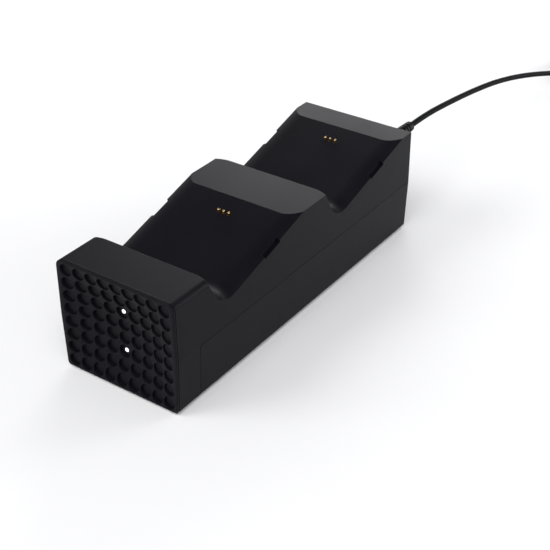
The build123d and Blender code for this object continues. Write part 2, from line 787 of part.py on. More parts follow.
# Main board on four posts, with its chips, capacitors and sockets
board_top = foot_proud + wall + main_post_height + board_thickness
with BuildPart() as main_board:
    with BuildSketch(Plane.XY.offset(board_top)):
        with Locations((0, main_board_y)):
            RectangleRounded(main_board_width, main_board_length, radius=1.5)
            with GridLocations(*post_locations, 2, 2):
                Circle(small_screw_diameter / 2 + fit_gap, mode=Mode.SUBTRACT)
    extrude(amount=-board_thickness)
main_board.part.label = "main_board"
export_step(main_board.part, "parts/main_board.step")

with BuildPart() as board_screws:
    with Locations(Plane(origin=(0, main_board_y, board_top), x_dir=(1, 0, 0), z_dir=(0, 0, -1))):
        with GridLocations(*post_locations, 2, 2):
            add(small_screw.part)
board_screws.part.label = "board_screws"
export_step(board_screws.part, "parts/board_screws.step")

with BuildPart() as charge_chips:
    with BuildSketch(Plane.XY.offset(board_top)):
        with Locations((chip_place[0], main_board_y + chip_place[1])):
            with GridLocations(chip_size + chip_gap, 0, 2, 1):
                RectangleRounded(chip_size, chip_size, radius=0.4)
    extrude(amount=chip_height)
    chamfer(charge_chips.faces().filter_by(Plane.XY).group_by(Axis.Z)[-1].edges(), length=chip_chamfer)
charge_chips.part.label = "charge_chips"
export_step(charge_chips.part, "parts/charge_chips.step")

with BuildPart() as board_capacitors:
    with BuildSketch(Plane.XY.offset(board_top)):
        with Locations((capacitor_place[0], main_board_y + capacitor_place[1])):
            with GridLocations(capacitor_diameter + capacitor_gap, 0, 2, 1):
                Circle(capacitor_diameter / 2)
    extrude(amount=capacitor_height)
    fillet(
        board_capacitors.faces().filter_by(Plane.XY).group_by(Axis.Z)[-1].edges(),
        radius=capacitor_edge_radius,
    )
board_capacitors.part.label = "board_capacitors"
export_step(board_capacitors.part, "parts/board_capacitors.step")

socket_places = [front_socket, rear_socket, indicator_socket, lead_socket]
with BuildPart() as board_sockets:
    with BuildSketch(Plane.XY.offset(board_top)):
        for socket_x, socket_offset in socket_places:
            with Locations((socket_x, main_board_y + socket_offset)):
                Rectangle(socket_size[0], socket_size[1])
    extrude(amount=socket_size[2])
    with BuildSketch(Plane.XY.offset(board_top + socket_floor)):
        for socket_x, socket_offset in socket_places[:3]:
            with Locations((socket_x, main_board_y + socket_offset)):
                Rectangle(socket_size[0] - 2 * socket_wall, socket_size[1] - 2 * socket_wall)
    extrude(amount=socket_size[2], mode=Mode.SUBTRACT)
board_sockets.part.label = "board_sockets"
export_step(board_sockets.part, "parts/board_sockets.step")

# Ribbons of wires: each stands in its socket and runs to the back of its board
socket_base = board_top + socket_floor
for ribbon_name, ribbon_socket, ribbon_offset in (
    ("front", front_socket, seat_offsets[0]),
    ("rear", rear_socket, seat_offsets[1]),
):
    board_back = seat_plane(ribbon_offset, contact_board_depth + contact_board_thickness)
    landing = board_back.from_local_coords((0, -contact_setback - contact_board_length / 4, 0))
    approach = board_back.from_local_coords((0, -contact_setback - contact_board_length / 4, -2 * ribbon_radius))
    socket_y = main_board_y + ribbon_socket[1]
    with BuildPart() as ribbon:
        with BuildLine(Plane.YZ.offset(ribbon_socket[0])) as ribbon_path:
            FilletPolyline(
                (socket_y, socket_base),
                (socket_y, socket_base + ribbon_rise),
                (approach.Y, approach.Z),
                (landing.Y, landing.Z),
                radius=ribbon_radius,
            )
        with BuildSketch(Plane.XY.offset(socket_base)):
            with Locations((ribbon_socket[0], socket_y)):
                Rectangle(ribbon_width, ribbon_thickness)
        sweep(path=ribbon_path.wires()[0])
    ribbon.part.label = "ribbon_" + ribbon_name
    export_step(ribbon.part, "parts/ribbon_" + ribbon_name + ".step")

indicator_back_y = front_y + indicator_station + board_thickness
indicator_socket_y = main_board_y + indicator_socket[1]
with BuildPart() as ribbon_indicator:
    with BuildLine(Plane.YZ.offset(indicator_socket[0])) as ribbon_path:
        FilletPolyline(
            (indicator_socket_y, socket_base),
            (indicator_socket_y, socket_base + ribbon_rise),
            (indicator_back_y + ribbon_reach, dish_centre_z),
            (indicator_back_y, dish_centre_z),
            radius=ribbon_radius,
        )
    with BuildSketch(Plane.XY.offset(socket_base)):
        with Locations((indicator_socket[0], indicator_socket_y)):
            Rectangle(ribbon_width, ribbon_thickness)
    sweep(path=ribbon_path.wires()[0])
ribbon_indicator.part.label = "ribbon_indicator"
export_step(ribbon_indicator.part, "parts/ribbon_indicator.step")

# Strain relief: a flange inside the back wall, a neck in its hole and a ribbed tapering boot
relief_z = foot_proud + relief_height
relief_axis = Axis((relief_x, rear_y, relief_z), (0, 1, 0))
relief_plane = Plane(origin=(relief_x, rear_y, relief_z), x_dir=(0, 1, 0), z_dir=(1, 0, 0))
with BuildPart() as strain_relief:
    with BuildSketch(relief_plane):
        with BuildLine():
            Polyline(
                (-wall - relief_flange_thickness, 0),
                (-wall - relief_flange_thickness, relief_flange_diameter / 2),
                (-wall, relief_flange_diameter / 2),
                (-wall, relief_neck_diameter / 2),
                (0, relief_neck_diameter / 2),
                (0, relief_root_diameter / 2),
                (relief_length, relief_tip_diameter / 2),
                (relief_length, 0),
                close=True,
            )
        make_face()
    revolve(axis=relief_axis)
    with BuildSketch(relief_plane):
        for rib in range(relief_rib_count):
            with Locations((relief_first_groove + rib * relief_rib_pitch, relief_root_diameter / 2)):
                Rectangle(relief_groove_width, 2 * relief_groove_depth)
    revolve(axis=relief_axis, mode=Mode.SUBTRACT)
strain_relief.part.label = "strain_relief"
export_step(strain_relief.part, "parts/strain_relief.step")


def run_radii(points, share=0.45):
    """The largest arc at each inner point of a route that both its runs leave room for."""
    radii = []
    for before, here, after in zip(points, points[1:], points[2:]):
        first = Vector(*here) - Vector(*before)
        second = Vector(*after) - Vector(*here)
        half_turn = radians(first.get_angle(second)) / 2
        radii.append(share * min(first.length, second.length) / tan(half_turn))
    return radii


# Lead inside the casing, from the strain relief through its clamp to the main board
lead_socket_back = main_board_y + lead_socket[1] + socket_size[1] / 2
lead_socket_z = board_top + socket_size[2] / 2
clamp_y = front_y + lead_clamp_station
clamp_z = foot_proud + lead_clamp_height
relief_inner_y = rear_y - wall - relief_flange_thickness
fall_start = Vector(relief_x, relief_inner_y - lead_turn_run, relief_z)
fall_end = Vector(lead_clamp_x, clamp_y + lead_clamp_run, clamp_z)
fall_points = [
    tuple(low + share * (high - low) for low, high, share in zip(tuple(fall_end), tuple(fall_start), fall))
    for fall in (upper_fall, lower_fall)
]
inner_points = [
    (relief_x, relief_inner_y, relief_z),
    tuple(fall_start),
    *fall_points,
    tuple(fall_end),
    (lead_clamp_x, clamp_y - lead_leave_run, clamp_z),
    (lead_socket[0], lead_socket_back + lead_socket_run, lead_socket_z),
    (lead_socket[0], lead_socket_back, lead_socket_z),
]
inner_radii = run_radii(inner_points)
print("inner lead radii", [round(radius, 1) for radius in inner_radii])
with BuildPart() as inner_lead:
    with BuildLine() as inner_path:
        FilletPolyline(*inner_points, radius=inner_radii)
    with BuildSketch(Plane(origin=inner_path.line @ 0, z_dir=inner_path.line % 0)):
        Circle(lead_diameter / 2)
    sweep(path=inner_path.wires()[0])
inner_lead.part.label = "inner_lead"
export_step(inner_lead.part, "parts/inner_lead.step")

# Clamp bar over the lead, screwed to its two posts
clamp_base = clamp_z + lead_diameter / 4
with BuildPart() as lead_clamp:
    with BuildSketch(Plane.XY.offset(clamp_base)):
        with Locations((lead_clamp_x, clamp_y)):
            SlotCenterToCenter(2 * lead_clamp_spread, lead_clamp_length)
            with GridLocations(2 * lead_clamp_spread, 0, 2, 1):
                Circle(small_screw_diameter / 2 + fit_gap, mode=Mode.SUBTRACT)
    extrude(amount=lead_clamp_thickness)
    with BuildSketch(front_plane(lead_clamp_station - lead_clamp_length)):
        with Locations((lead_clamp_x, lead_clamp_height)):
            Circle(lead_diameter / 2 + slide_gap)
    extrude(amount=-2 * lead_clamp_length, mode=Mode.SUBTRACT)
lead_clamp.part.label = "lead_clamp"
export_step(lead_clamp.part, "parts/lead_clamp.step")

clamp_top = Plane(
    origin=(lead_clamp_x, clamp_y, clamp_base + lead_clamp_thickness), x_dir=(1, 0, 0), z_dir=(0, 0, -1)
)
with BuildPart() as clamp_screws:
    with Locations(clamp_top):
        with GridLocations(2 * lead_clamp_spread, 0, 2, 1):
            add(small_screw.part)
clamp_screws.part.label = "clamp_screws"
export_step(clamp_screws.part, "parts/clamp_screws.step")

# Free lead: out of the strain relief, down to the floor behind the dock and along to the coil
lead_points = [(relief_x + across, rear_y + back, height) for across, back, height in lead_steps]
cable_points = [
    (relief_x, rear_y + relief_length, relief_z),
    (relief_x, rear_y + relief_length + lead_straight, relief_z),
] + lead_points
cable_radii = run_radii(cable_points)
print("cable radii", [round(radius, 1) for radius in cable_radii])
with BuildPart() as cable:
    with BuildLine() as cable_path:
        FilletPolyline(*cable_points, radius=cable_radii)
    with BuildSketch(Plane(origin=cable_path.line @ 0, z_dir=cable_path.line % 0)):
        Circle(lead_diameter / 2)
    sweep(path=cable_path.wires()[0])
cable.part.label = "cable"
export_step(cable.part, "parts/cable.step")

# Coil: flat rings of turns, entered along one tangent and left along the opposite one
coil_width = coil_turns_wide * lead_diameter
coil_height = coil_turns_high * lead_diameter
coil_outer_turn = coil_middle_radius + (coil_turns_wide - 1) * lead_diameter / 2
coil_x = lead_points[-1][0] - coil_outer_turn
coil_y = lead_points[-1][1] + coil_stub
coil_axis = Axis((coil_x, coil_y, 0), (0, 0, 1))
coil_section = Plane(origin=(coil_x, coil_y, 0), x_dir=(0, -1, 0), z_dir=(-1, 0, 0))
bundle_radius = lead_diameter * 0.49

with BuildPart() as cable_tie:
    with BuildSketch(coil_section):
        with Locations((coil_middle_radius, (coil_height + tie_thickness) / 2)):
            RectangleRounded(
                coil_width + 2 * tie_thickness,
                coil_height + tie_thickness,
                radius=bundle_radius + tie_thickness / 2,
            )
        with Locations((coil_middle_radius, (coil_height + tie_thickness) / 2)):
            RectangleRounded(
                coil_width, coil_height - tie_thickness, radius=bundle_radius, mode=Mode.SUBTRACT
            )
    revolve(axis=coil_axis)
    with BuildSketch(Plane.XY):
        with Locations((coil_x, coil_y)):
            Rectangle(tie_width, 2 * coil_outer_turn, align=(Align.CENTER, Align.MIN))
    extrude(amount=2 * coil_height, mode=Mode.INTERSECT)
cable_tie.part.label = "cable_tie"
export_step(cable_tie.part, "parts/cable_tie.step")

# Room for the tie: under it the turns are pressed together by its thickness
with BuildPart() as tie_room:
    with BuildSketch(coil_section):
        with Locations((coil_middle_radius, coil_height / 2)):
            Rectangle(coil_width + coil_height, 2 * coil_height)
        with Locations((coil_middle_radius, (coil_height + tie_thickness) / 2)):
            RectangleRounded(
                coil_width, coil_height - tie_thickness, radius=bundle_radius, mode=Mode.SUBTRACT
            )
    revolve(axis=coil_axis)
    with BuildSketch(Plane.XY.offset(-coil_height)):
        with Locations((coil_x, coil_y)):
            Rectangle(tie_width, 2 * coil_outer_turn, align=(Align.CENTER, Align.MIN))
    extrude(amount=4 * coil_height, mode=Mode.INTERSECT)

tail_height = plug_thickness / 2
with BuildPart() as cable_coil:
    with BuildSketch(coil_section):
        with Locations((coil_middle_radius, coil_height / 2)):
            RectangleRounded(coil_width, coil_height, radius=bundle_radius)
    revolve(axis=coil_axis)
    with BuildSketch(Plane(origin=(coil_x, coil_y - coil_stub, 0), x_dir=(-1, 0, 0), z_dir=(0, 1, 0))):
        with Locations((-coil_outer_turn, lead_diameter / 2), (coil_outer_turn, tail_height)):
            Circle(lead_diameter / 2)
    extrude(amount=coil_stub)
    add(tie_room.part, mode=Mode.SUBTRACT)
cable_coil.part.label = "cable_coil"
export_step(cable_coil.part, "parts/cable_coil.step")

# Tail of the lead from the coil to the plug
tail_x = coil_x - coil_outer_turn
tail_y = coil_y - coil_stub
tail_points = [
    (tail_x, tail_y, tail_height),
    (tail_x, tail_y - tail_run, tail_height),
    (
        tail_x + tail_run * sin(radians(tail_bend)),
        tail_y - tail_run - tail_run * cos(radians(tail_bend)),
        tail_height,
    ),
]
tail_radii = run_radii(tail_points)
print("tail radii", [round(radius, 1) for radius in tail_radii])
with BuildPart() as cable_tail:
    with BuildLine() as tail_path:
        FilletPolyline(*tail_points, radius=tail_radii)
    with BuildSketch(Plane(origin=tail_path.line @ 0, z_dir=tail_path.line % 0)):
        Circle(lead_diameter / 2)
    sweep(path=tail_path.wires()[0])
cable_tail.part.label = "cable_tail"
export_step(cable_tail.part, "parts/cable_tail.step")

# Plug: a moulded grip with a tapering sleeve, a steel shell with two pairs of windows and its tongue
plug_axis = Vector(sin(radians(tail_bend)), -cos(radians(tail_bend)), 0)
plug_across = Vector(cos(radians(tail_bend)), sin(radians(tail_bend)), 0)
plug_plane = Plane(origin=tail_points[-1], x_dir=-plug_across, z_dir=plug_axis)
with BuildPart() as plug_body:
    with BuildSketch(plug_plane):
        Circle(plug_relief_diameter / 2 - 0.6)
    with BuildSketch(plug_plane.offset(plug_relief_length)):
        Circle(plug_relief_diameter / 2)
    loft()
    with BuildSketch(plug_plane.offset(plug_relief_length)):
        RectangleRounded(plug_width, plug_thickness, radius=plug_edge_radius)
    extrude(amount=plug_length)
    fillet(
        plug_body.edges()
        .filter_by(lambda edge: abs((edge.center() - plug_plane.origin).dot(plug_axis) - plug_relief_length) < 0.01)
        .filter_by(lambda edge: (edge.center() - plug_plane.origin).length > plug_relief_length + 0.5),
        radius=plug_edge_radius / 2,
    )
plug_body.part.label = "plug_body"
export_step(plug_body.part, "parts/plug_body.step")

shell_start = plug_relief_length + plug_length
with BuildPart() as plug_shell:
    with BuildSketch(plug_plane.offset(shell_start)):
        RectangleRounded(shell_width, shell_thickness, radius=2 * shell_wall)
        RectangleRounded(
            shell_width - 2 * shell_wall,
            shell_thickness - 2 * shell_wall,
            radius=shell_wall,
            mode=Mode.SUBTRACT,
        )
    extrude(amount=shell_length)
    window_plane = Plane(
        origin=plug_plane.origin + plug_axis * (shell_start + shell_length * 0.45),
        x_dir=plug_across,
        z_dir=(0, 0, 1),
    )
    with BuildSketch(window_plane.offset(-shell_thickness)):
        with GridLocations(shell_width * 0.42, 0, 2, 1):
            Rectangle(shell_window, shell_window)
    extrude(amount=2 * shell_thickness, mode=Mode.SUBTRACT)
plug_shell.part.label = "plug_shell"
export_step(plug_shell.part, "parts/plug_shell.step")

with BuildPart() as plug_tongue:
    with BuildSketch(plug_plane.offset(shell_start)):
        with Locations((0, shell_wall - shell_thickness / 2)):
            Rectangle(
                shell_width - 4 * shell_wall, tongue_thickness, align=(Align.CENTER, Align.MIN)
            )
    extrude(amount=shell_length - 2 * shell_wall)
plug_tongue.part.label = "plug_tongue"
export_step(plug_tongue.part, "parts/plug_tongue.step")

# Length of the lead outside the casing, with the turns of the coil
coil_turns = coil_turns_wide * coil_turns_high - 0.5
lead_length = (
    cable_path.wires()[0].length
    + 2 * coil_stub
    + coil_turns * 2 * pi * coil_middle_radius
    + tail_path.wires()[0].length
)
lead_section = pi * lead_diameter**2 / 4
print("cable volume", round(cable.part.volume, 1), "of", round(lead_section * cable_path.wires()[0].length, 1))
print("inner volume", round(inner_lead.part.volume, 1), "of", round(lead_section * inner_path.wires()[0].length, 1))
print("lead length outside the casing", round(lead_length, 1))
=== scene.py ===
import math

import bmesh
import bpy
from bpy.props import FloatProperty, FloatVectorProperty, IntProperty, PointerProperty
from mathutils import Euler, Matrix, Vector


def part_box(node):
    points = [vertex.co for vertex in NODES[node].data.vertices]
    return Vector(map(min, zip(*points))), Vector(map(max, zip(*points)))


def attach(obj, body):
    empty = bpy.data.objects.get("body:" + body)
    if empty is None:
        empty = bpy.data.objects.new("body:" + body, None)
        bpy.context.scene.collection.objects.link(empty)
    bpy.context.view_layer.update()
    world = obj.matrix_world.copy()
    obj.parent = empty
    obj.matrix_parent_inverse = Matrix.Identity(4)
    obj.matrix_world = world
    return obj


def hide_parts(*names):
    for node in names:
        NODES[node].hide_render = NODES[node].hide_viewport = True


bl_info = {
    "name": "Controller Charging Dock",
    "version": (1, 0, 0),
    "blender": (4, 5, 0),
    "location": "View3D > Sidebar > Dock",
    "description": "Finishes, lead and studio for a charging dock with two sloping seats",
    "category": "Object",
}

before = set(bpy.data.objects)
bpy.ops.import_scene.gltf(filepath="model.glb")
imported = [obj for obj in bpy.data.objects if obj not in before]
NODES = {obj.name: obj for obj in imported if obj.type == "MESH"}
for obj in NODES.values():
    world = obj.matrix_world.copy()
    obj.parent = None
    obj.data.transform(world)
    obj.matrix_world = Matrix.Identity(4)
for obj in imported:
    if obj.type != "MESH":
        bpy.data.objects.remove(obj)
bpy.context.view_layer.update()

# Route of the lead in metres: out of the strain relief, down to the floor, then to the start of the coil
LEAD_EXIT = (0.0224, 0.1174, 0.0515)
LEAD_ROUTE = (
    LEAD_EXIT,
    (0.0224, 0.1354, 0.0515),
    (0.0226, 0.1625, 0.0487),
    (0.0229, 0.1930, 0.0448),
    (0.0238, 0.2250, 0.0397),
    (0.0268, 0.2560, 0.0332),
    (0.0320, 0.2860, 0.0255),
    (0.0390, 0.3140, 0.0176),
    (0.0470, 0.3390, 0.0104),
    (0.0545, 0.3610, 0.0046),
    (0.0595, 0.3810, 0.0016),
    (0.0595, 0.3980, 0.0016),
)
COIL_STUB = 0.0125

# Finishes: tint of the sheen, samples of rounded edges and of the painted shade in hollows, the span and
# colour of that painted shade, and the span that a noise mostly keeps to
SHEEN_TINT = (0.94, 0.92, 1.0)
EDGE_SAMPLES = 4
PAINTED_SHADE_SPAN = (0.35, 0.9)
PAINTED_SHADE_COLOUR = (0.0002, 0.0002, 0.0003, 1)
NOISE_SPAN = (0.3, 0.7)

# Front panel in metres, heights measured from its middle
PANEL_LOW, PANEL_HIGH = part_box("front_panel")
PANEL_FRONT = PANEL_LOW[1]
PANEL_LENGTH = PANEL_HIGH[1] - PANEL_LOW[1]
PANEL_MIDDLE = (PANEL_LOW[2] + PANEL_HIGH[2]) / 2
PANEL_HEIGHT = PANEL_HIGH[2] - PANEL_LOW[2]
PANEL_HALF_WIDTH = PANEL_HIGH[0]
PARTING_HEIGHT = 0.0279
UPPER_DRAFT = math.radians(0.5)
LOWER_DRAFT = math.radians(2.0)
PANEL_HALF_TOP = PANEL_HALF_WIDTH - (PANEL_HEIGHT - PARTING_HEIGHT) * math.tan(UPPER_DRAFT)
PANEL_HALF_BOTTOM = PANEL_HALF_WIDTH - PARTING_HEIGHT * math.tan(LOWER_DRAFT)
BOTTOM_EDGE_RADIUS = 0.0015
LEDGE_EDGE_RADIUS = 0.003
CORNER_STEPS = 8
RIM_WIDTH = 0.001
DISH_HALF_WIDTH = PANEL_HALF_BOTTOM - RIM_WIDTH
DISH_HALF_HEIGHT = PANEL_HEIGHT / 2 - RIM_WIDTH
PANEL_EDGE_RADIUS = 0.00045
PANEL_EDGE_STEPS = 4
PANEL_FLANGE = 0.001
PANEL_WALL = 0.003
PANEL_CREASE = 32.0
CASING_FRONT = 0.0022
COLLAR_EDGE = 0.0001
SKIRT_INSET = 0.0023
SKIRT_THICKNESS = 0.0015
BACK_SCALES = (1.0, 0.75, 0.5, 0.25)

# Dimples: their field, and how far the painted shade in each reaches, as a share of its depth
PIT_PITCH = 0.00695
PIT_COLUMNS, PIT_ROWS = 9, 8
SIDE_STEPS = 6
PIT_PAINTED_SHADE = 0.8

# Lenses: rows from the middle, and a profile of shares of the radius and heights above the dimple's floor
LENS_RISES = (1.5 * PIT_PITCH, -1.5 * PIT_PITCH)
LENS_RADIUS = 0.00102
LENS_HOLE = 0.00104
LENS_TUBE = 0.0016
LENS_SIDES = 24
LENS_CREASE = 50.0
LENS_PROFILE = ((1.0, -0.0012), (1.0, 0.00005), (0.93, 0.00016), (0.72, 0.00026), (0.4, 0.00032))

# A ray meets an outline's side only past this turn between them, and with this slack at the side's ends
PARALLEL_TURN = 1e-15
END_SLACK = 1e-6
MICRONS_PER_METRE = 1e6

# Coil: its turns, the ring of each turn and the turns of one layer
COIL_TURNS = 5.5
COIL_ORDER = (0, 1, 2, 2, 1, 0)
COIL_LAYER = 3

# Crossing to the next ring, in shares of a turn: how early it starts and how long it takes
CROSSING_LEAD = 0.25
CROSSING_SHARE = 0.16

# How narrow the rise is where the lead passes over the tie
TIE_SHARPNESS = 12

# Tail of the lead and the tie's band
TAIL_RUN = 0.011
TAIL_BEND = math.radians(20.0)
TAIL_HEIGHT = 0.0045
TIE_HALF_WIDTH = 0.003
TIE_CORNER = 0.49
TIE_STEPS = 6

# Stage: the floor, where it turns white, the sky's two ends, and each lamp's place, aim, size and watts
FLOOR_REACH = 6
FLOOR_HEIGHT = -0.00005
FLOOR_FADE = (0.55, 1.3)
SKY_LOW = (0.3, (1, 1, 1, 1))
SKY_HIGH = (0.75, (0.3, 0.3, 0.32, 1))
LAMPS = (
    ("lamp_left", (-1.15, -1.25, 1.4), (0.0, 0.0, 0.0), 1.0, 15.0),
    ("lamp_front", (0.5, -1.1, 1.8), (0.0, 0.0, 0.0), 1.7, 28.0),
    ("lamp_behind", (-0.62, 1.15, 0.42), (0.0, 0.1, 0.05), 0.7, 6.0),
    ("lamp_right", (0.62, 0.85, 0.16), (0.03, 0.1, 0.03), 0.5, 6.5),
)


# Settings


def colour_setting(name, description, default):
    """A colour that the sidebar shows."""
    return FloatVectorProperty(
        name=name, description=description, subtype="COLOR", size=3, min=0, max=1, default=default
    )


def length_setting(name, description, default, low, high, precision=4):
    """A length in metres that the sidebar shows."""
    return FloatProperty(
        name=name, description=description, default=default, min=low, max=high, unit="LENGTH",
        precision=precision,
    )


def share_setting(name, description, default):
    """A share from 0 to 1 that the sidebar shows."""
    return FloatProperty(name=name, description=description, default=default, min=0, max=1, subtype="FACTOR")


class DockFinishes(bpy.types.PropertyGroup):
    """Colours and surface values of the dock's materials"""

    casing_colour: colour_setting("Casing", "Colour of the moulded casing", (0.0054, 0.0051, 0.0074))
    panel_colour: colour_setting("Front panel", "Colour of the dimpled panel", (0.0054, 0.0051, 0.0074))
    lead_colour: colour_setting("Lead", "Colour of the lead's jacket", (0.0028, 0.0028, 0.0031))
    contact_colour: colour_setting("Contacts", "Colour of the plated contacts", (0.62, 0.42, 0.20))
    barrel_colour: colour_setting(
        "Barrels", "Colour of the barrels that hold the contacts", (0.05, 0.035, 0.02)
    )
    light_colour: colour_setting("Lights", "Colour of the indicator lights", (0.93, 0.96, 1.0))
    light_strength: FloatProperty(
        name="Light strength", description="Brightness of the indicator lights", default=1.3, min=0, max=50,
    )
    casing_roughness: share_setting("Casing roughness", "How matt the casing is", 0.42)
    edge_wear: length_setting(
        "Edge rounding", "How far the moulded edges look rounded", 0.0003, 0, 0.002, precision=5
    )
    grain_size: length_setting("Grain", "Size of the moulding grain", 0.00035, 0.00005, 0.01, precision=5)


class DockPanel(bpy.types.PropertyGroup):
    """Sizes of the dished front panel and its dimples"""

    pit_diameter: length_setting("Dimple width", "Diameter of one dimple", 0.0064, 0.001, 0.0068)
    pit_depth: length_setting(
        "Dimple depth", "Depth of a dimple's floor under the dished face", 0.0013, 0.0002, 0.0026
    )
    floor_tilt: share_setting(
        "Floor tilt", "How far a dimple's floor leans with the dished face round it", 0.35
    )
    pit_pitch: length_setting(
        "Dimple pitch", "Distance from one dimple to the next", PIT_PITCH, 0.005, 0.02, precision=5
    )
    pit_edge: length_setting(
        "Dimple edge", "Width of the softened edge of a dimple", 0.0002, 0.00002, 0.0003, precision=5
    )
    dish_depth: length_setting(
        "Dish depth", "How far the middle of the face lies behind its rim", 0.00516, 0, 0.01
    )
    seam_width: length_setting(
        "Seam width", "Gap between the panel's flange and the casing", 0.00035, 0.0001, 0.001, precision=5
    )
    seam_depth: length_setting(
        "Seam depth", "Depth of the gap behind the flange", 0.0006, 0.0001, 0.0009, precision=5
    )


class DockLead(bpy.types.PropertyGroup):
    """Sizes of the lead and its coil"""

    diameter: length_setting("Diameter", "Thickness of the lead", 0.0032, 0.001, 0.02)
    coil_radius: length_setting("Coil radius", "Radius of the middle turn of the coil", 0.0192, 0.005, 0.2)
    turn_points: IntProperty(
        name="Points per turn", description="Control points in one turn of the coil", default=16, min=12,
        max=48,
    )
    length: length_setting("Length", "Length of the lead outside the casing", 1.0, 0.1, 5, precision=3)
    tie_thickness: length_setting(
        "Tie thickness", "Thickness of the band round the coil", 0.0005, 0.0001, 0.002
    )


class DockStage(bpy.types.PropertyGroup):
    """Camera, floor and sky"""

    camera_place: FloatVectorProperty(
        name="Camera", description="Where the camera stands", size=3, subtype="TRANSLATION", unit="LENGTH",
        default=(0.29753, -0.40483, 0.33469),
    )
    camera_turn: FloatProperty(
        name="Azimuth", description="How far round the camera stands", default=math.radians(34.9236),
        subtype="ANGLE",
    )
    camera_tilt: FloatProperty(
        name="Elevation", description="How far down the camera looks", default=math.radians(32.9629),
        subtype="ANGLE",
    )
    focal_length: FloatProperty(
        name="Focal length", description="Lens of the camera in millimetres", default=77.51, min=10,
        max=500,
    )
    floor_colour: colour_setting("Floor", "Colour of the floor", (0.93, 0.93, 0.935))
    sky_strength: FloatProperty(
        name="Sky", description="Strength of the light from all round", default=0.68, min=0, max=5,
    )


# Materials


def new_material(name):
    """An empty material with its shader and output, and the coordinates of the row frame."""
    material = bpy.data.materials.new(name)
    material.use_nodes = True
    tree = material.node_tree
    tree.nodes.clear()
    output = tree.nodes.new("ShaderNodeOutputMaterial")
    shader = tree.nodes.new("ShaderNodeBsdfPrincipled")
    place = tree.nodes.new("ShaderNodeTexCoord")
    tree.links.new(shader.outputs["BSDF"], output.inputs["Surface"])
    return material, tree, shader, place.outputs["Object"]


def noise(tree, place, size, detail=3.0, roughness=0.55):
    """A noise whose features are about size metres across."""
    node = tree.nodes.new("ShaderNodeTexNoise")
    node.inputs["Scale"].default_value = 1.0 / size
    node.inputs["Detail"].default_value = detail
    node.inputs["Roughness"].default_value = roughness
    tree.links.new(place, node.inputs["Vector"])
    return node.outputs["Fac"]


def ramp(tree, factor, low, high, start=0.35, stop=0.65):
    """Turns a factor into a colour between two."""
    node = tree.nodes.new("ShaderNodeValToRGB")
    node.color_ramp.elements[0].position = start
    node.color_ramp.elements[0].color = (*low, 1)
    node.color_ramp.elements[1].position = stop
    node.color_ramp.elements[1].color = (*high, 1)
    tree.links.new(factor, node.inputs["Fac"])
    return node.outputs["Color"]


def spread(tree, factor, low, high):
    """Turns a factor into a number between two."""
    node = tree.nodes.new("ShaderNodeMapRange")
    node.inputs["From Min"].default_value = NOISE_SPAN[0]
    node.inputs["From Max"].default_value = NOISE_SPAN[1]
    node.inputs["To Min"].default_value = low
    node.inputs["To Max"].default_value = high
    tree.links.new(factor, node.inputs["Value"])
    return node.outputs["Result"]


def relief(tree, shader, height, distance, strength=1.0, edge=0.0):
    """Presses a height pattern into the surface, whose sharp edges are rounded by edge metres."""
    node = tree.nodes.new("ShaderNodeBump")
    node.inputs["Strength"].default_value = strength
    node.inputs["Distance"].default_value = distance
    if edge > 0:
        rounded = tree.nodes.new("ShaderNodeBevel")
        rounded.samples = EDGE_SAMPLES
        rounded.inputs["Radius"].default_value = edge
        tree.links.new(rounded.outputs["Normal"], node.inputs["Normal"])
    tree.links.new(height, node.inputs["Height"])
    tree.links.new(node.outputs["Normal"], shader.inputs["Normal"])


def shade(colour, factor):
    """A colour made lighter or darker."""
    return tuple(min(1.0, channel * factor) for channel in colour)


def moulded_plastic(name, colour, roughness, grain, specular=0.07, depth=0.000012, edge=0.0, painted_shade_reach=0.0):
    """Satin moulded plastic: a fine spark-eroded grain, faint flow marks and uneven gloss."""
    material, tree, shader, place = new_material(name)
    flow = noise(tree, place, 0.035, detail=4.0)
    fine = noise(tree, place, grain, detail=2.0)
    tint = ramp(tree, flow, shade(colour, 0.9), shade(colour, 1.15))
    # Painted shade darkens the colour in hollows when a reach for it is given
    if painted_shade_reach > 0:
        tint = paint_shade_in_hollows(tree, tint, painted_shade_reach)
    tree.links.new(tint, shader.inputs["Base Color"])
    shader.inputs["Specular Tint"].default_value = (*SHEEN_TINT, 1)
    tree.links.new(spread(tree, flow, roughness - 0.03, roughness + 0.04), shader.inputs["Roughness"])
    shader.inputs["Specular IOR Level"].default_value = specular
    relief(tree, shader, fine, depth, edge=edge)
    return material


def paint_shade_in_hollows(tree, tint, reach):
    """Paints shade into a colour: darkens it where other faces stand close, as shade does in corners."""
    corner = tree.nodes.new("ShaderNodeAmbientOcclusion")
    corner.samples = EDGE_SAMPLES
    corner.inputs["Distance"].default_value = reach
    open_share = tree.nodes.new("ShaderNodeMapRange")
    open_share.inputs["From Min"].default_value = PAINTED_SHADE_SPAN[0]
    open_share.inputs["From Max"].default_value = PAINTED_SHADE_SPAN[1]
    tree.links.new(corner.outputs["AO"], open_share.inputs["Value"])
    # Painted shade: the dark colour of the hollows mixed into the surface colour
    mix = tree.nodes.new("ShaderNodeMix")
    mix.data_type = "RGBA"
    mix.inputs["A"].default_value = PAINTED_SHADE_COLOUR
    tree.links.new(open_share.outputs["Result"], mix.inputs["Factor"])
    tree.links.new(tint, mix.inputs["B"])
    return mix.outputs["Result"]


def plated_metal(name, colour, roughness, grain, depth=0.000004):
    """Plated metal with fine marks and cloudy gloss."""
    material, tree, shader, place = new_material(name)
    cloud = noise(tree, place, grain * 8, detail=4.0)
    fine = noise(tree, place, grain, detail=3.0)
    tree.links.new(ramp(tree, cloud, shade(colour, 0.82), colour), shader.inputs["Base Color"])
    tree.links.new(spread(tree, cloud, roughness * 0.8, roughness * 1.3), shader.inputs["Roughness"])
    shader.inputs["Metallic"].default_value = 1.0
    relief(tree, shader, fine, depth)
    return material


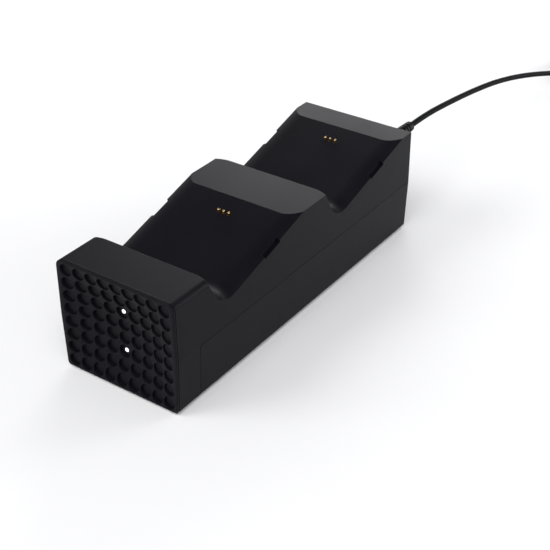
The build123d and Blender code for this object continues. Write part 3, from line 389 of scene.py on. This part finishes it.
def circuit_board(name, colour):
    """Solder resist over a pattern of copper tracks."""
    material, tree, shader, place = new_material(name)
    tracks = tree.nodes.new("ShaderNodeTexBrick")
    tracks.inputs["Scale"].default_value = 260.0
    tracks.inputs["Mortar Size"].default_value = 0.12
    tracks.inputs["Color1"].default_value = (*colour, 1)
    tracks.inputs["Color2"].default_value = (*shade(colour, 0.8), 1)
    tracks.inputs["Mortar"].default_value = (*shade(colour, 1.9), 1)
    tree.links.new(place, tracks.inputs["Vector"])
    tree.links.new(tracks.outputs["Color"], shader.inputs["Base Color"])
    shader.inputs["Roughness"].default_value = 0.3
    relief(tree, shader, tracks.outputs["Fac"], 0.00002)
    return material


def light_guide(name, colour, strength):
    """A clear guide that glows white, a little cloudy."""
    material, tree, shader, place = new_material(name)
    cloud = noise(tree, place, 0.0008, detail=2.0)
    tree.links.new(ramp(tree, cloud, shade(colour, 0.85), colour), shader.inputs["Base Color"])
    tree.links.new(ramp(tree, cloud, shade(colour, 0.9), colour), shader.inputs["Emission Color"])
    shader.inputs["Emission Strength"].default_value = strength
    shader.inputs["Roughness"].default_value = 0.25
    return material


def paint(material, *names):
    """Puts one material on each named CAD node."""
    for name in names:
        data = NODES[name].data
        data.materials.clear()
        data.materials.append(material)


def slotted(piece, body="dock"):
    """Lets a new piece ride on its body."""
    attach(piece, body)
    return piece


def mesh_piece(name, build, material):
    """A new mesh object whose faces the build function makes in a bmesh."""
    data = bpy.data.meshes.new(name)
    made = bmesh.new()
    build(made)
    bmesh.ops.recalc_face_normals(made, faces=made.faces)
    made.to_mesh(data)
    made.free()
    piece = bpy.data.objects.new(name, data)
    bpy.context.scene.collection.objects.link(piece)
    data.materials.append(material)
    return piece


def smooth(piece, angle):
    """Shades a piece smoothly, with its edges sharper than angle degrees kept."""
    piece.data.shade_smooth()
    piece.data.set_sharp_from_angle(angle=math.radians(angle))


# Operators


class DOCK_OT_casing(bpy.types.Operator):
    """Finish the upper and lower casings in black satin plastic"""

    bl_idname = "dock.casing"
    bl_label = "Casing"
    bl_options = {"REGISTER", "UNDO"}

    def execute(self, context):
        look = context.scene.dock_finishes
        upper = moulded_plastic(
            "casing_satin", look.casing_colour, look.casing_roughness, look.grain_size, edge=look.edge_wear
        )
        lower = moulded_plastic(
            "tray_satin", look.casing_colour, look.casing_roughness, look.grain_size, edge=look.edge_wear
        )
        paint(upper, "upper_casing")
        paint(lower, "lower_casing")
        return {"FINISHED"}


class DOCK_OT_front_panel(bpy.types.Operator):
    """Finish the dimpled panel and light its two indicators"""

    bl_idname = "dock.front_panel"
    bl_label = "Front panel"
    bl_options = {"REGISTER", "UNDO"}

    def execute(self, context):
        look = context.scene.dock_finishes
        sizes = context.scene.dock_panel
        # The panel's colour carries painted shade where its faces stand close, as in the dimples
        panel = moulded_plastic(
            "panel_satin", look.panel_colour, look.casing_roughness, look.grain_size,
            painted_shade_reach=sizes.pit_depth * PIT_PAINTED_SHADE,
        )
        paint(panel, "front_panel")
        guide = light_guide("indicator_light", look.light_colour, look.light_strength)
        paint(guide, "light_guide_upper", "light_guide_lower")

        face = mesh_piece("panel_face", lambda made: build_panel(made, sizes), panel)
        smooth(face, PANEL_CREASE)
        slotted(face)
        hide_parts("front_panel")

        casing = bpy.data.materials["casing_satin"]
        collar = mesh_piece("casing_collar", lambda made: build_collar(made, sizes), casing)
        smooth(collar, PANEL_CREASE)
        slotted(collar)

        for name, rise in zip(("upper", "lower"), LENS_RISES):
            lens = mesh_piece("lens_" + name, lambda made, rise=rise: build_lens(made, sizes, rise), guide)
            smooth(lens, LENS_CREASE)
            slotted(lens)
        return {"FINISHED"}


def dish(sizes, x, rise):
    """Depth of the dished face behind its rim."""
    across = max(0.0, 1 - (x / DISH_HALF_WIDTH) ** 2)
    upright = max(0.0, 1 - (rise / DISH_HALF_HEIGHT) ** 2)
    return sizes.dish_depth * across * upright


def panel_outline(inset):
    """The panel's outline drawn inwards by inset, as points round its corners."""
    low = PANEL_HALF_BOTTOM - inset
    middle = PANEL_HALF_WIDTH - inset
    high = PANEL_HALF_TOP - inset
    half = PANEL_HEIGHT / 2
    seam = PARTING_HEIGHT - half
    foot = BOTTOM_EDGE_RADIUS**2 / (BOTTOM_EDGE_RADIUS + inset)
    head = LEDGE_EDGE_RADIUS**2 / (LEDGE_EDGE_RADIUS + inset)
    corners = (
        ((-low, inset - half), foot),
        ((low, inset - half), foot),
        ((middle, seam), 0.0),
        ((high, half - inset), head),
        ((-high, half - inset), head),
        ((-middle, seam), 0.0),
    )
    points = []
    for index, (corner, radius) in enumerate(corners):
        here = Vector(corner)
        if radius == 0:
            points.append(here)
            continue
        before = (Vector(corners[index - 1][0]) - here).normalized()
        after = (Vector(corners[(index + 1) % len(corners)][0]) - here).normalized()
        half_angle = before.angle(after) / 2
        middle_of_arc = here + (before + after).normalized() * radius / math.sin(half_angle)
        first = here + before * radius / math.tan(half_angle)
        last = here + after * radius / math.tan(half_angle)
        for step in range(CORNER_STEPS + 1):
            chord = first.lerp(last, step / CORNER_STEPS) - middle_of_arc
            points.append(middle_of_arc + chord.normalized() * radius)
    return points


def outline_ring(inset, rays):
    """Where rays from the panel's centre meet its outline."""
    points = panel_outline(inset)
    ring = []
    for ray in rays:
        reach = 0.0
        for index, end in enumerate(points):
            start = points[index - 1]
            side = end - start
            turn = ray.x * side.y - ray.y * side.x
            if abs(turn) < PARALLEL_TURN:
                continue
            distance = (start.x * side.y - start.y * side.x) / turn
            share = (start.x * ray.y - start.y * ray.x) / turn
            if distance > 0 and -END_SLACK <= share <= 1 + END_SLACK:
                reach = max(reach, distance)
        ring.append(ray * reach)
    return ring


def panel_rays(sizes):
    """Corners and side points of the field of dimples, in order round it."""
    half_x = PIT_COLUMNS * sizes.pit_pitch / 2
    half_z = PIT_ROWS * sizes.pit_pitch / 2
    across = PIT_COLUMNS * SIDE_STEPS
    upright = PIT_ROWS * SIDE_STEPS
    step = sizes.pit_pitch / SIDE_STEPS
    points = [Vector((-half_x + step * index, -half_z)) for index in range(across)]
    points += [Vector((half_x, -half_z + step * index)) for index in range(upright)]
    points += [Vector((half_x - step * index, half_z)) for index in range(across)]
    points += [Vector((-half_x, half_z - step * index)) for index in range(upright)]
    return points


def join_rings(made, first, second):
    """Faces between two rings with as many points each."""
    for index in range(len(first)):
        made.faces.new((first[index - 1], first[index], second[index], second[index - 1]))


def panel_point(made, x, rise, depth):
    """A point of the panel, by its height from the middle and its depth behind the front."""
    return made.verts.new((x, PANEL_FRONT + depth, PANEL_MIDDLE + rise))


def square_points(half):
    """Points round the square that holds one dimple."""
    points = []
    for index in range(4 * SIDE_STEPS):
        side, share = divmod(index, SIDE_STEPS)
        run = half * (2 * share / SIDE_STEPS - 1)
        points.append(((run, -half), (half, run), (-run, half), (-half, -run))[side])
    return points


def dimple_rings(sizes, lit):
    """Radius, depth, share of the dish and floor depth of each ring of a dimple, from its edge inwards."""
    radius = sizes.pit_diameter / 2
    edge = sizes.pit_edge
    rim = (
        (radius + edge * 1.25, 0.0),
        (radius + edge, 0.0),
        (radius + edge * 0.3, edge * 0.3),
        (radius, edge),
    )
    floor = (
        (radius, -edge),
        (radius - edge * 0.3, -edge * 0.3),
        (radius - edge, 0.0),
        (radius - edge * 1.3, 0.0),
    )
    middle = ((LENS_HOLE, 0.0), (LENS_HOLE, LENS_TUBE)) if lit else ((radius * 0.5, 0.0),)
    rings = [(*step, 1.0, 0.0) for step in rim]
    return rings + [(*step, sizes.floor_tilt, sizes.pit_depth) for step in floor + middle]


def build_dimple(made, sizes, shared, x, rise):
    """One dimple in its square of the dished face, open in its middle where a lens sits."""
    half = sizes.pit_pitch / 2
    square = square_points(half)
    before = [shared(x + u, rise + v) for u, v in square]
    lit = abs(x) < half and any(abs(rise - lens) < half for lens in LENS_RISES)
    middle = dish(sizes, x, rise)
    for reach, sunk, tilt, floor in dimple_rings(sizes, lit):
        ring = []
        for u, v in square:
            scale = reach / math.hypot(u, v)
            spot = (x + u * scale, rise + v * scale)
            level = middle + (dish(sizes, *spot) - middle) * tilt
            ring.append(panel_point(made, *spot, level + floor + sunk))
        join_rings(made, before, ring)
        before = ring
    if not lit:
        centre = panel_point(made, x, rise, middle + sizes.pit_depth)
        for index in range(len(before)):
            made.faces.new((before[index - 1], before[index], centre))


def edge_steps(sizes):
    """Inset and depth of each ring round the panel, from its face back over the seam to the skirt's end."""
    steps = []
    for index in range(PANEL_EDGE_STEPS + 1):
        turn = math.pi / 2 * index / PANEL_EDGE_STEPS
        steps.append((PANEL_EDGE_RADIUS * (1 - math.sin(turn)), PANEL_EDGE_RADIUS * (1 - math.cos(turn))))
    return steps + [
        (0.0, PANEL_FLANGE),
        (sizes.seam_depth, PANEL_FLANGE),
        (sizes.seam_depth, PANEL_FLANGE + sizes.seam_width),
        (sizes.seam_depth, CASING_FRONT),
        (SKIRT_INSET, CASING_FRONT),
        (SKIRT_INSET, PANEL_LENGTH),
        (SKIRT_INSET + SKIRT_THICKNESS, PANEL_LENGTH),
    ]


def build_panel(made, sizes):
    """The dished face with its dimples, the rim, the seam behind it and the skirt in the casing's mouth."""
    known = {}

    def shared(x, rise):
        key = (round(x * MICRONS_PER_METRE), round(rise * MICRONS_PER_METRE))
        if key not in known:
            known[key] = panel_point(made, x, rise, dish(sizes, x, rise))
        return known[key]

    for column in range(PIT_COLUMNS):
        for row in range(PIT_ROWS):
            x = (column - (PIT_COLUMNS - 1) / 2) * sizes.pit_pitch
            rise = (row - (PIT_ROWS - 1) / 2) * sizes.pit_pitch
            build_dimple(made, sizes, shared, x, rise)

    rays = panel_rays(sizes)
    before = [shared(ray.x, ray.y) for ray in rays]
    for inset, sunk in edge_steps(sizes):
        ring = [panel_point(made, spot.x, spot.y, sunk) for spot in outline_ring(inset, rays)]
        join_rings(made, before, ring)
        before = ring
    inner = outline_ring(SKIRT_INSET + SKIRT_THICKNESS, rays)
    for scale in BACK_SCALES:
        ring = []
        for spot in inner:
            x, rise = spot.x * scale, spot.y * scale
            ring.append(panel_point(made, x, rise, dish(sizes, x, rise) + PANEL_WALL))
        join_rings(made, before, ring)
        before = ring
    made.faces.new(before)


def build_collar(made, sizes):
    """The band of the casing between the seam and the casing's own front edge."""
    rays = panel_rays(sizes)
    first = PANEL_FLANGE + sizes.seam_width
    steps = (
        (sizes.seam_depth, first),
        (COLLAR_EDGE, first),
        (0.0, first + COLLAR_EDGE),
        (0.0, CASING_FRONT),
        (sizes.seam_depth, CASING_FRONT),
    )
    rows = []
    for inset, sunk in steps:
        rows.append([panel_point(made, spot.x, spot.y, sunk) for spot in outline_ring(inset, rays)])
    for index in range(len(rows)):
        join_rings(made, rows[index - 1], rows[index])


def build_lens(made, sizes, rise):
    """A domed lens that stands proud of its dimple's floor."""
    base = dish(sizes, 0.0, rise) + sizes.pit_depth
    before = None
    for reach, lift in LENS_PROFILE:
        ring = []
        for index in range(LENS_SIDES):
            turn = 2 * math.pi * index / LENS_SIDES
            x = LENS_RADIUS * reach * math.cos(turn)
            up = LENS_RADIUS * reach * math.sin(turn)
            ring.append(panel_point(made, x, rise + up, base - lift))
        if before:
            join_rings(made, before, ring)
        else:
            made.faces.new(ring)
        before = ring
    made.faces.new(before)


class DOCK_OT_contacts(bpy.types.Operator):
    """Plate the sprung contacts and their barrels"""

    bl_idname = "dock.contacts"
    bl_label = "Contacts"
    bl_options = {"REGISTER", "UNDO"}

    def execute(self, context):
        look = context.scene.dock_finishes
        gold = plated_metal("contact_plating", look.contact_colour, 0.22, 0.0002)
        pins = []
        for seat in ("front", "rear"):
            pins += ["contact_pin_" + seat + "_" + side for side in ("left", "centre", "right")]
        paint(gold, *pins)
        bronze = plated_metal("barrel_bronze", look.barrel_colour, 0.35, 0.0002)
        paint(bronze, "contact_barrels_front", "contact_barrels_rear")
        return {"FINISHED"}


class DOCK_OT_inner_parts(bpy.types.Operator):
    """Finish the boards, sockets, ribbons and screws inside the casing"""

    bl_idname = "dock.inner_parts"
    bl_label = "Inner parts"
    bl_options = {"REGISTER", "UNDO"}

    def execute(self, context):
        steel = plated_metal("screw_zinc", (0.62, 0.62, 0.65), 0.3, 0.0003)
        paint(
            steel, "casing_screws", "board_screws", "indicator_screws", "clamp_screws",
            "contact_screws_front", "contact_screws_rear",
        )
        board = circuit_board("solder_resist", (0.012, 0.10, 0.035))
        paint(board, "main_board", "indicator_board", "contact_board_front", "contact_board_rear")
        paint(moulded_plastic("chip_epoxy", (0.012, 0.012, 0.012), 0.5, 0.0003), "charge_chips")
        paint(plated_metal("capacitor_can", (0.72, 0.72, 0.74), 0.3, 0.0004), "board_capacitors")
        nylon = moulded_plastic("socket_nylon", (0.72, 0.70, 0.62), 0.45, 0.0004, specular=0.4)
        paint(nylon, "board_sockets")
        lamp = moulded_plastic("lamp_body", (0.85, 0.85, 0.78), 0.35, 0.0003, specular=0.4)
        paint(lamp, "indicator_lamps")
        vinyl = moulded_plastic("ribbon_vinyl", (0.22, 0.22, 0.24), 0.5, 0.0004, specular=0.4)
        paint(vinyl, "ribbon_front", "ribbon_rear", "ribbon_indicator")
        rubber = moulded_plastic(
            "foot_rubber", (0.012, 0.012, 0.012), 0.75, 0.0005, specular=0.3, depth=0.00003
        )
        paint(rubber, "feet")
        return {"FINISHED"}


class DOCK_OT_lead(bpy.types.Operator):
    """Lay the lead from the strain relief to its coil, tie and plug"""

    bl_idname = "dock.lead"
    bl_label = "Lead"
    bl_options = {"REGISTER", "UNDO"}

    def execute(self, context):
        look = context.scene.dock_finishes
        sizes = context.scene.dock_lead
        colour = look.lead_colour
        jacket = moulded_plastic("lead_jacket", colour, 0.4, 0.0005, specular=0.02, depth=0.000006)
        grip = moulded_plastic("plug_grip", colour, 0.5, 0.0005, specular=0.1, depth=0.00002)
        boot = moulded_plastic("relief_rubber", colour, 0.5, 0.0005, specular=0.08, depth=0.00002)
        steel = plated_metal("plug_nickel", (0.78, 0.77, 0.75), 0.2, 0.0003)
        tongue = moulded_plastic("plug_insulator", (0.85, 0.85, 0.85), 0.35, 0.0004, specular=0.5)
        paint(boot, "strain_relief")
        paint(jacket, "inner_lead", "cable", "cable_coil", "cable_tail")
        paint(grip, "plug_body", "lead_clamp", "cable_tie")
        paint(steel, "plug_shell")
        paint(tongue, "plug_tongue")

        radius = sizes.diameter / 2
        start = Vector(LEAD_ROUTE[-1])
        outer = sizes.coil_radius + sizes.diameter
        centre = Vector((start.x - outer, start.y + COIL_STUB, 0))
        points = [Vector(point) for point in LEAD_ROUTE]
        points += coil_points(centre, sizes, radius)
        tail = Vector((centre.x - outer, centre.y - COIL_STUB, TAIL_HEIGHT))
        points += [
            tail,
            tail + Vector((0, -TAIL_RUN, 0)),
            tail + Vector((TAIL_RUN * math.sin(TAIL_BEND), -TAIL_RUN * (1 + math.cos(TAIL_BEND)), 0)),
        ]
        data = bpy.data.curves.new("lead", "CURVE")
        data.dimensions = "3D"
        data.resolution_u = 6
        data.bevel_depth = radius
        data.bevel_resolution = 5
        data.use_fill_caps = True
        spline = data.splines.new("NURBS")
        spline.points.add(len(points) - 1)
        for control, point in zip(spline.points, points):
            control.co = (*point, 1)
        spline.order_u = 3
        spline.use_endpoint_u = True
        lead = bpy.data.objects.new("lead", data)
        context.scene.collection.objects.link(lead)
        data.materials.append(jacket)
        slotted(lead)
        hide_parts("cable", "cable_coil", "cable_tail")

        tie = mesh_piece("lead_tie", lambda made: build_tie(made, centre, sizes), grip)
        slotted(tie)
        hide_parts("cable_tie")
        return {"FINISHED"}


def coil_points(centre, sizes, radius):
    """Control points of the coil: inwards on the floor, then outwards on top of the first layer."""
    swell = 1 / math.cos(math.pi / sizes.turn_points)
    rings = (sizes.coil_radius + sizes.diameter, sizes.coil_radius, sizes.coil_radius - sizes.diameter)
    low, high = radius, 3 * radius
    points = []
    for index in range(int(COIL_TURNS * sizes.turn_points)):
        turned = (index + 0.5) / sizes.turn_points
        stretch = turned + CROSSING_LEAD
        ring = min(len(COIL_ORDER) - 1, int(stretch))
        passed = min(1.0, max(0.0, (stretch - ring) / CROSSING_SHARE))
        passed = passed * passed * (3 - 2 * passed)
        before = rings[COIL_ORDER[max(0, ring - 1)]]
        reach = (before + (rings[COIL_ORDER[ring]] - before) * passed) * swell
        lift = low if ring < COIL_LAYER else high
        if ring == COIL_LAYER:
            lift = low + (high - low) * passed
        angle = 2 * math.pi * turned
        near_tie = max(0.0, math.sin(angle)) ** TIE_SHARPNESS
        lift += near_tie * sizes.tie_thickness
        points.append(centre + Vector((reach * math.cos(angle), reach * math.sin(angle), lift)))
    return points


def build_tie(made, centre, sizes):
    """A closed band with rounded corners round the coil's turns."""
    wide, high = 3 * sizes.diameter, 2 * sizes.diameter
    thick = sizes.tie_thickness
    corner = sizes.diameter * TIE_CORNER
    middle_y = centre.y + sizes.coil_radius
    middle_z = high / 2 + thick
    loops = []
    for grow in (0.0, thick):
        ring = []
        for quarter in range(4):
            base = math.pi / 2 * quarter
            signs = ((1, 1), (-1, 1), (-1, -1), (1, -1))[quarter]
            for step in range(TIE_STEPS + 1):
                angle = base + math.pi / 2 * step / TIE_STEPS
                ring.append(
                    (
                        middle_y + signs[0] * (wide / 2 - corner) + (corner + grow) * math.cos(angle),
                        middle_z + signs[1] * (high / 2 - corner) + (corner + grow) * math.sin(angle),
                    )
                )
        loops.append(ring)
    rows = []
    for side in (-TIE_HALF_WIDTH, TIE_HALF_WIDTH):
        for ring in loops:
            rows.append([made.verts.new((centre.x + side, y, max(z, 0.0))) for y, z in ring])
    inner_a, outer_a, inner_b, outer_b = rows
    count = len(inner_a)
    for index in range(count):
        after = (index + 1) % count
        made.faces.new((outer_a[index], outer_a[after], outer_b[after], outer_b[index]))
        made.faces.new((inner_a[after], inner_a[index], inner_b[index], inner_b[after]))
        made.faces.new((inner_a[index], inner_a[after], outer_a[after], outer_a[index]))
        made.faces.new((inner_b[after], inner_b[index], outer_b[index], outer_b[after]))


class DOCK_OT_stage(bpy.types.Operator):
    """Set the camera, the pale floor and the soft studio lamps"""

    bl_idname = "dock.stage"
    bl_label = "Stage"
    bl_options = {"REGISTER", "UNDO"}

    def execute(self, context):
        stage = context.scene.dock_stage
        scene = context.scene
        scene.view_settings.view_transform = "Standard"

        lens = bpy.data.cameras.new("camera")
        lens.sensor_fit = "AUTO"
        lens.sensor_width = 36.0
        lens.lens = stage.focal_length
        lens.clip_start = 0.01
        lens.clip_end = 50.0
        camera = bpy.data.objects.new("camera", lens)
        camera.location = stage.camera_place
        camera.rotation_euler = Euler((math.pi / 2 - stage.camera_tilt, 0, stage.camera_turn))
        scene.collection.objects.link(camera)
        scene.camera = camera

        floor_look, tree, shader, place = new_material("floor_paper")
        cloud = noise(tree, place, 0.4)
        paper = ramp(tree, cloud, shade(stage.floor_colour, 0.99), stage.floor_colour)
        tree.links.new(paper, shader.inputs["Base Color"])
        shader.inputs["Roughness"].default_value = 0.9
        shader.inputs["Specular IOR Level"].default_value = 0.1
        whiten_far_floor(tree, shader, place)

        def build_floor(made):
            corners = []
            for x, y in ((-1, -1), (1, -1), (1, 1), (-1, 1)):
                corners.append(made.verts.new((x * FLOOR_REACH, y * FLOOR_REACH, FLOOR_HEIGHT)))
            made.faces.new(corners)

        floor = mesh_piece("floor", build_floor, floor_look)

        for name, place, aim, size, power in LAMPS:
            light = bpy.data.lights.new(name, "AREA")
            light.shape = "SQUARE"
            light.size = size
            light.energy = power
            lamp = bpy.data.objects.new(name, light)
            lamp.location = place
            lamp.rotation_euler = (Vector(aim) - Vector(place)).to_track_quat("-Z", "Y").to_euler()
            scene.collection.objects.link(lamp)

        world = bpy.data.worlds.new("studio")
        world.use_nodes = True
        tree = world.node_tree
        tree.nodes.clear()
        output = tree.nodes.new("ShaderNodeOutputWorld")
        sky = tree.nodes.new("ShaderNodeBackground")
        spot = tree.nodes.new("ShaderNodeTexCoord")
        split = tree.nodes.new("ShaderNodeSeparateXYZ")
        tree.links.new(spot.outputs["Generated"], split.inputs["Vector"])
        height = tree.nodes.new("ShaderNodeValToRGB")
        for element, (position, tone) in zip(height.color_ramp.elements, (SKY_LOW, SKY_HIGH)):
            element.position = position
            element.color = tone
        tree.links.new(split.outputs["Z"], height.inputs["Fac"])
        tree.links.new(height.outputs["Color"], sky.inputs["Color"])
        sky.inputs["Strength"].default_value = stage.sky_strength
        tree.links.new(sky.outputs["Background"], output.inputs["Surface"])
        scene.world = world
        return {"FINISHED"}


def whiten_far_floor(tree, shader, place):
    """Keeps the floor white beyond the lamps' reach, where it is only a background."""
    reach = tree.nodes.new("ShaderNodeVectorMath")
    reach.operation = "LENGTH"
    tree.links.new(place, reach.inputs[0])
    far = tree.nodes.new("ShaderNodeMapRange")
    far.interpolation_type = "SMOOTHSTEP"
    far.inputs["From Min"].default_value = FLOOR_FADE[0]
    far.inputs["From Max"].default_value = FLOOR_FADE[1]
    tree.links.new(reach.outputs["Value"], far.inputs["Value"])
    rays = tree.nodes.new("ShaderNodeLightPath")
    total = rays.outputs["Is Camera Ray"]
    for name in ("Is Glossy Ray", "Is Transmission Ray"):
        add = tree.nodes.new("ShaderNodeMath")
        add.operation = "MAXIMUM"
        tree.links.new(total, add.inputs[0])
        tree.links.new(rays.outputs[name], add.inputs[1])
        total = add.outputs["Value"]
    share = tree.nodes.new("ShaderNodeMath")
    share.operation = "MULTIPLY"
    tree.links.new(far.outputs["Result"], share.inputs[0])
    tree.links.new(total, share.inputs[1])
    white = tree.nodes.new("ShaderNodeEmission")
    white.inputs["Strength"].default_value = 1.0
    mix = tree.nodes.new("ShaderNodeMixShader")
    tree.links.new(share.outputs["Value"], mix.inputs["Fac"])
    tree.links.new(shader.outputs["BSDF"], mix.inputs[1])
    tree.links.new(white.outputs["Emission"], mix.inputs[2])
    output = next(node for node in tree.nodes if node.type == "OUTPUT_MATERIAL")
    tree.links.new(mix.outputs["Shader"], output.inputs["Surface"])


class DOCK_PT_panel(bpy.types.Panel):
    """Lists the dock's operators and settings"""

    bl_idname = "DOCK_PT_panel"
    bl_label = "Charging dock"
    bl_space_type = "VIEW_3D"
    bl_region_type = "UI"
    bl_category = "Dock"

    def draw(self, context):
        layout = self.layout
        scene = context.scene
        for group in (scene.dock_finishes, scene.dock_panel, scene.dock_lead, scene.dock_stage):
            box = layout.box()
            for name in group.bl_rna.properties.keys():
                if name not in {"rna_type", "name"}:
                    box.prop(group, name)
        column = layout.column(align=True)
        for operator in OPERATORS:
            column.operator(operator.bl_idname)


OPERATORS = (
    DOCK_OT_stage,
    DOCK_OT_casing,
    DOCK_OT_front_panel,
    DOCK_OT_contacts,
    DOCK_OT_inner_parts,
    DOCK_OT_lead,
)
CLASSES = (DockFinishes, DockPanel, DockLead, DockStage, *OPERATORS, DOCK_PT_panel)


def register():
    for item in CLASSES:
        bpy.utils.register_class(item)
    bpy.types.Scene.dock_finishes = PointerProperty(type=DockFinishes)
    bpy.types.Scene.dock_panel = PointerProperty(type=DockPanel)
    bpy.types.Scene.dock_lead = PointerProperty(type=DockLead)
    bpy.types.Scene.dock_stage = PointerProperty(type=DockStage)


def unregister():
    del bpy.types.Scene.dock_stage
    del bpy.types.Scene.dock_lead
    del bpy.types.Scene.dock_panel
    del bpy.types.Scene.dock_finishes
    for item in reversed(CLASSES):
        bpy.utils.unregister_class(item)


def main():
    register()
    bpy.ops.dock.stage()
    bpy.ops.dock.casing()
    bpy.ops.dock.front_panel()
    bpy.ops.dock.contacts()
    bpy.ops.dock.inner_parts()
    bpy.ops.dock.lead()


if __name__ == "__main__":
    main()
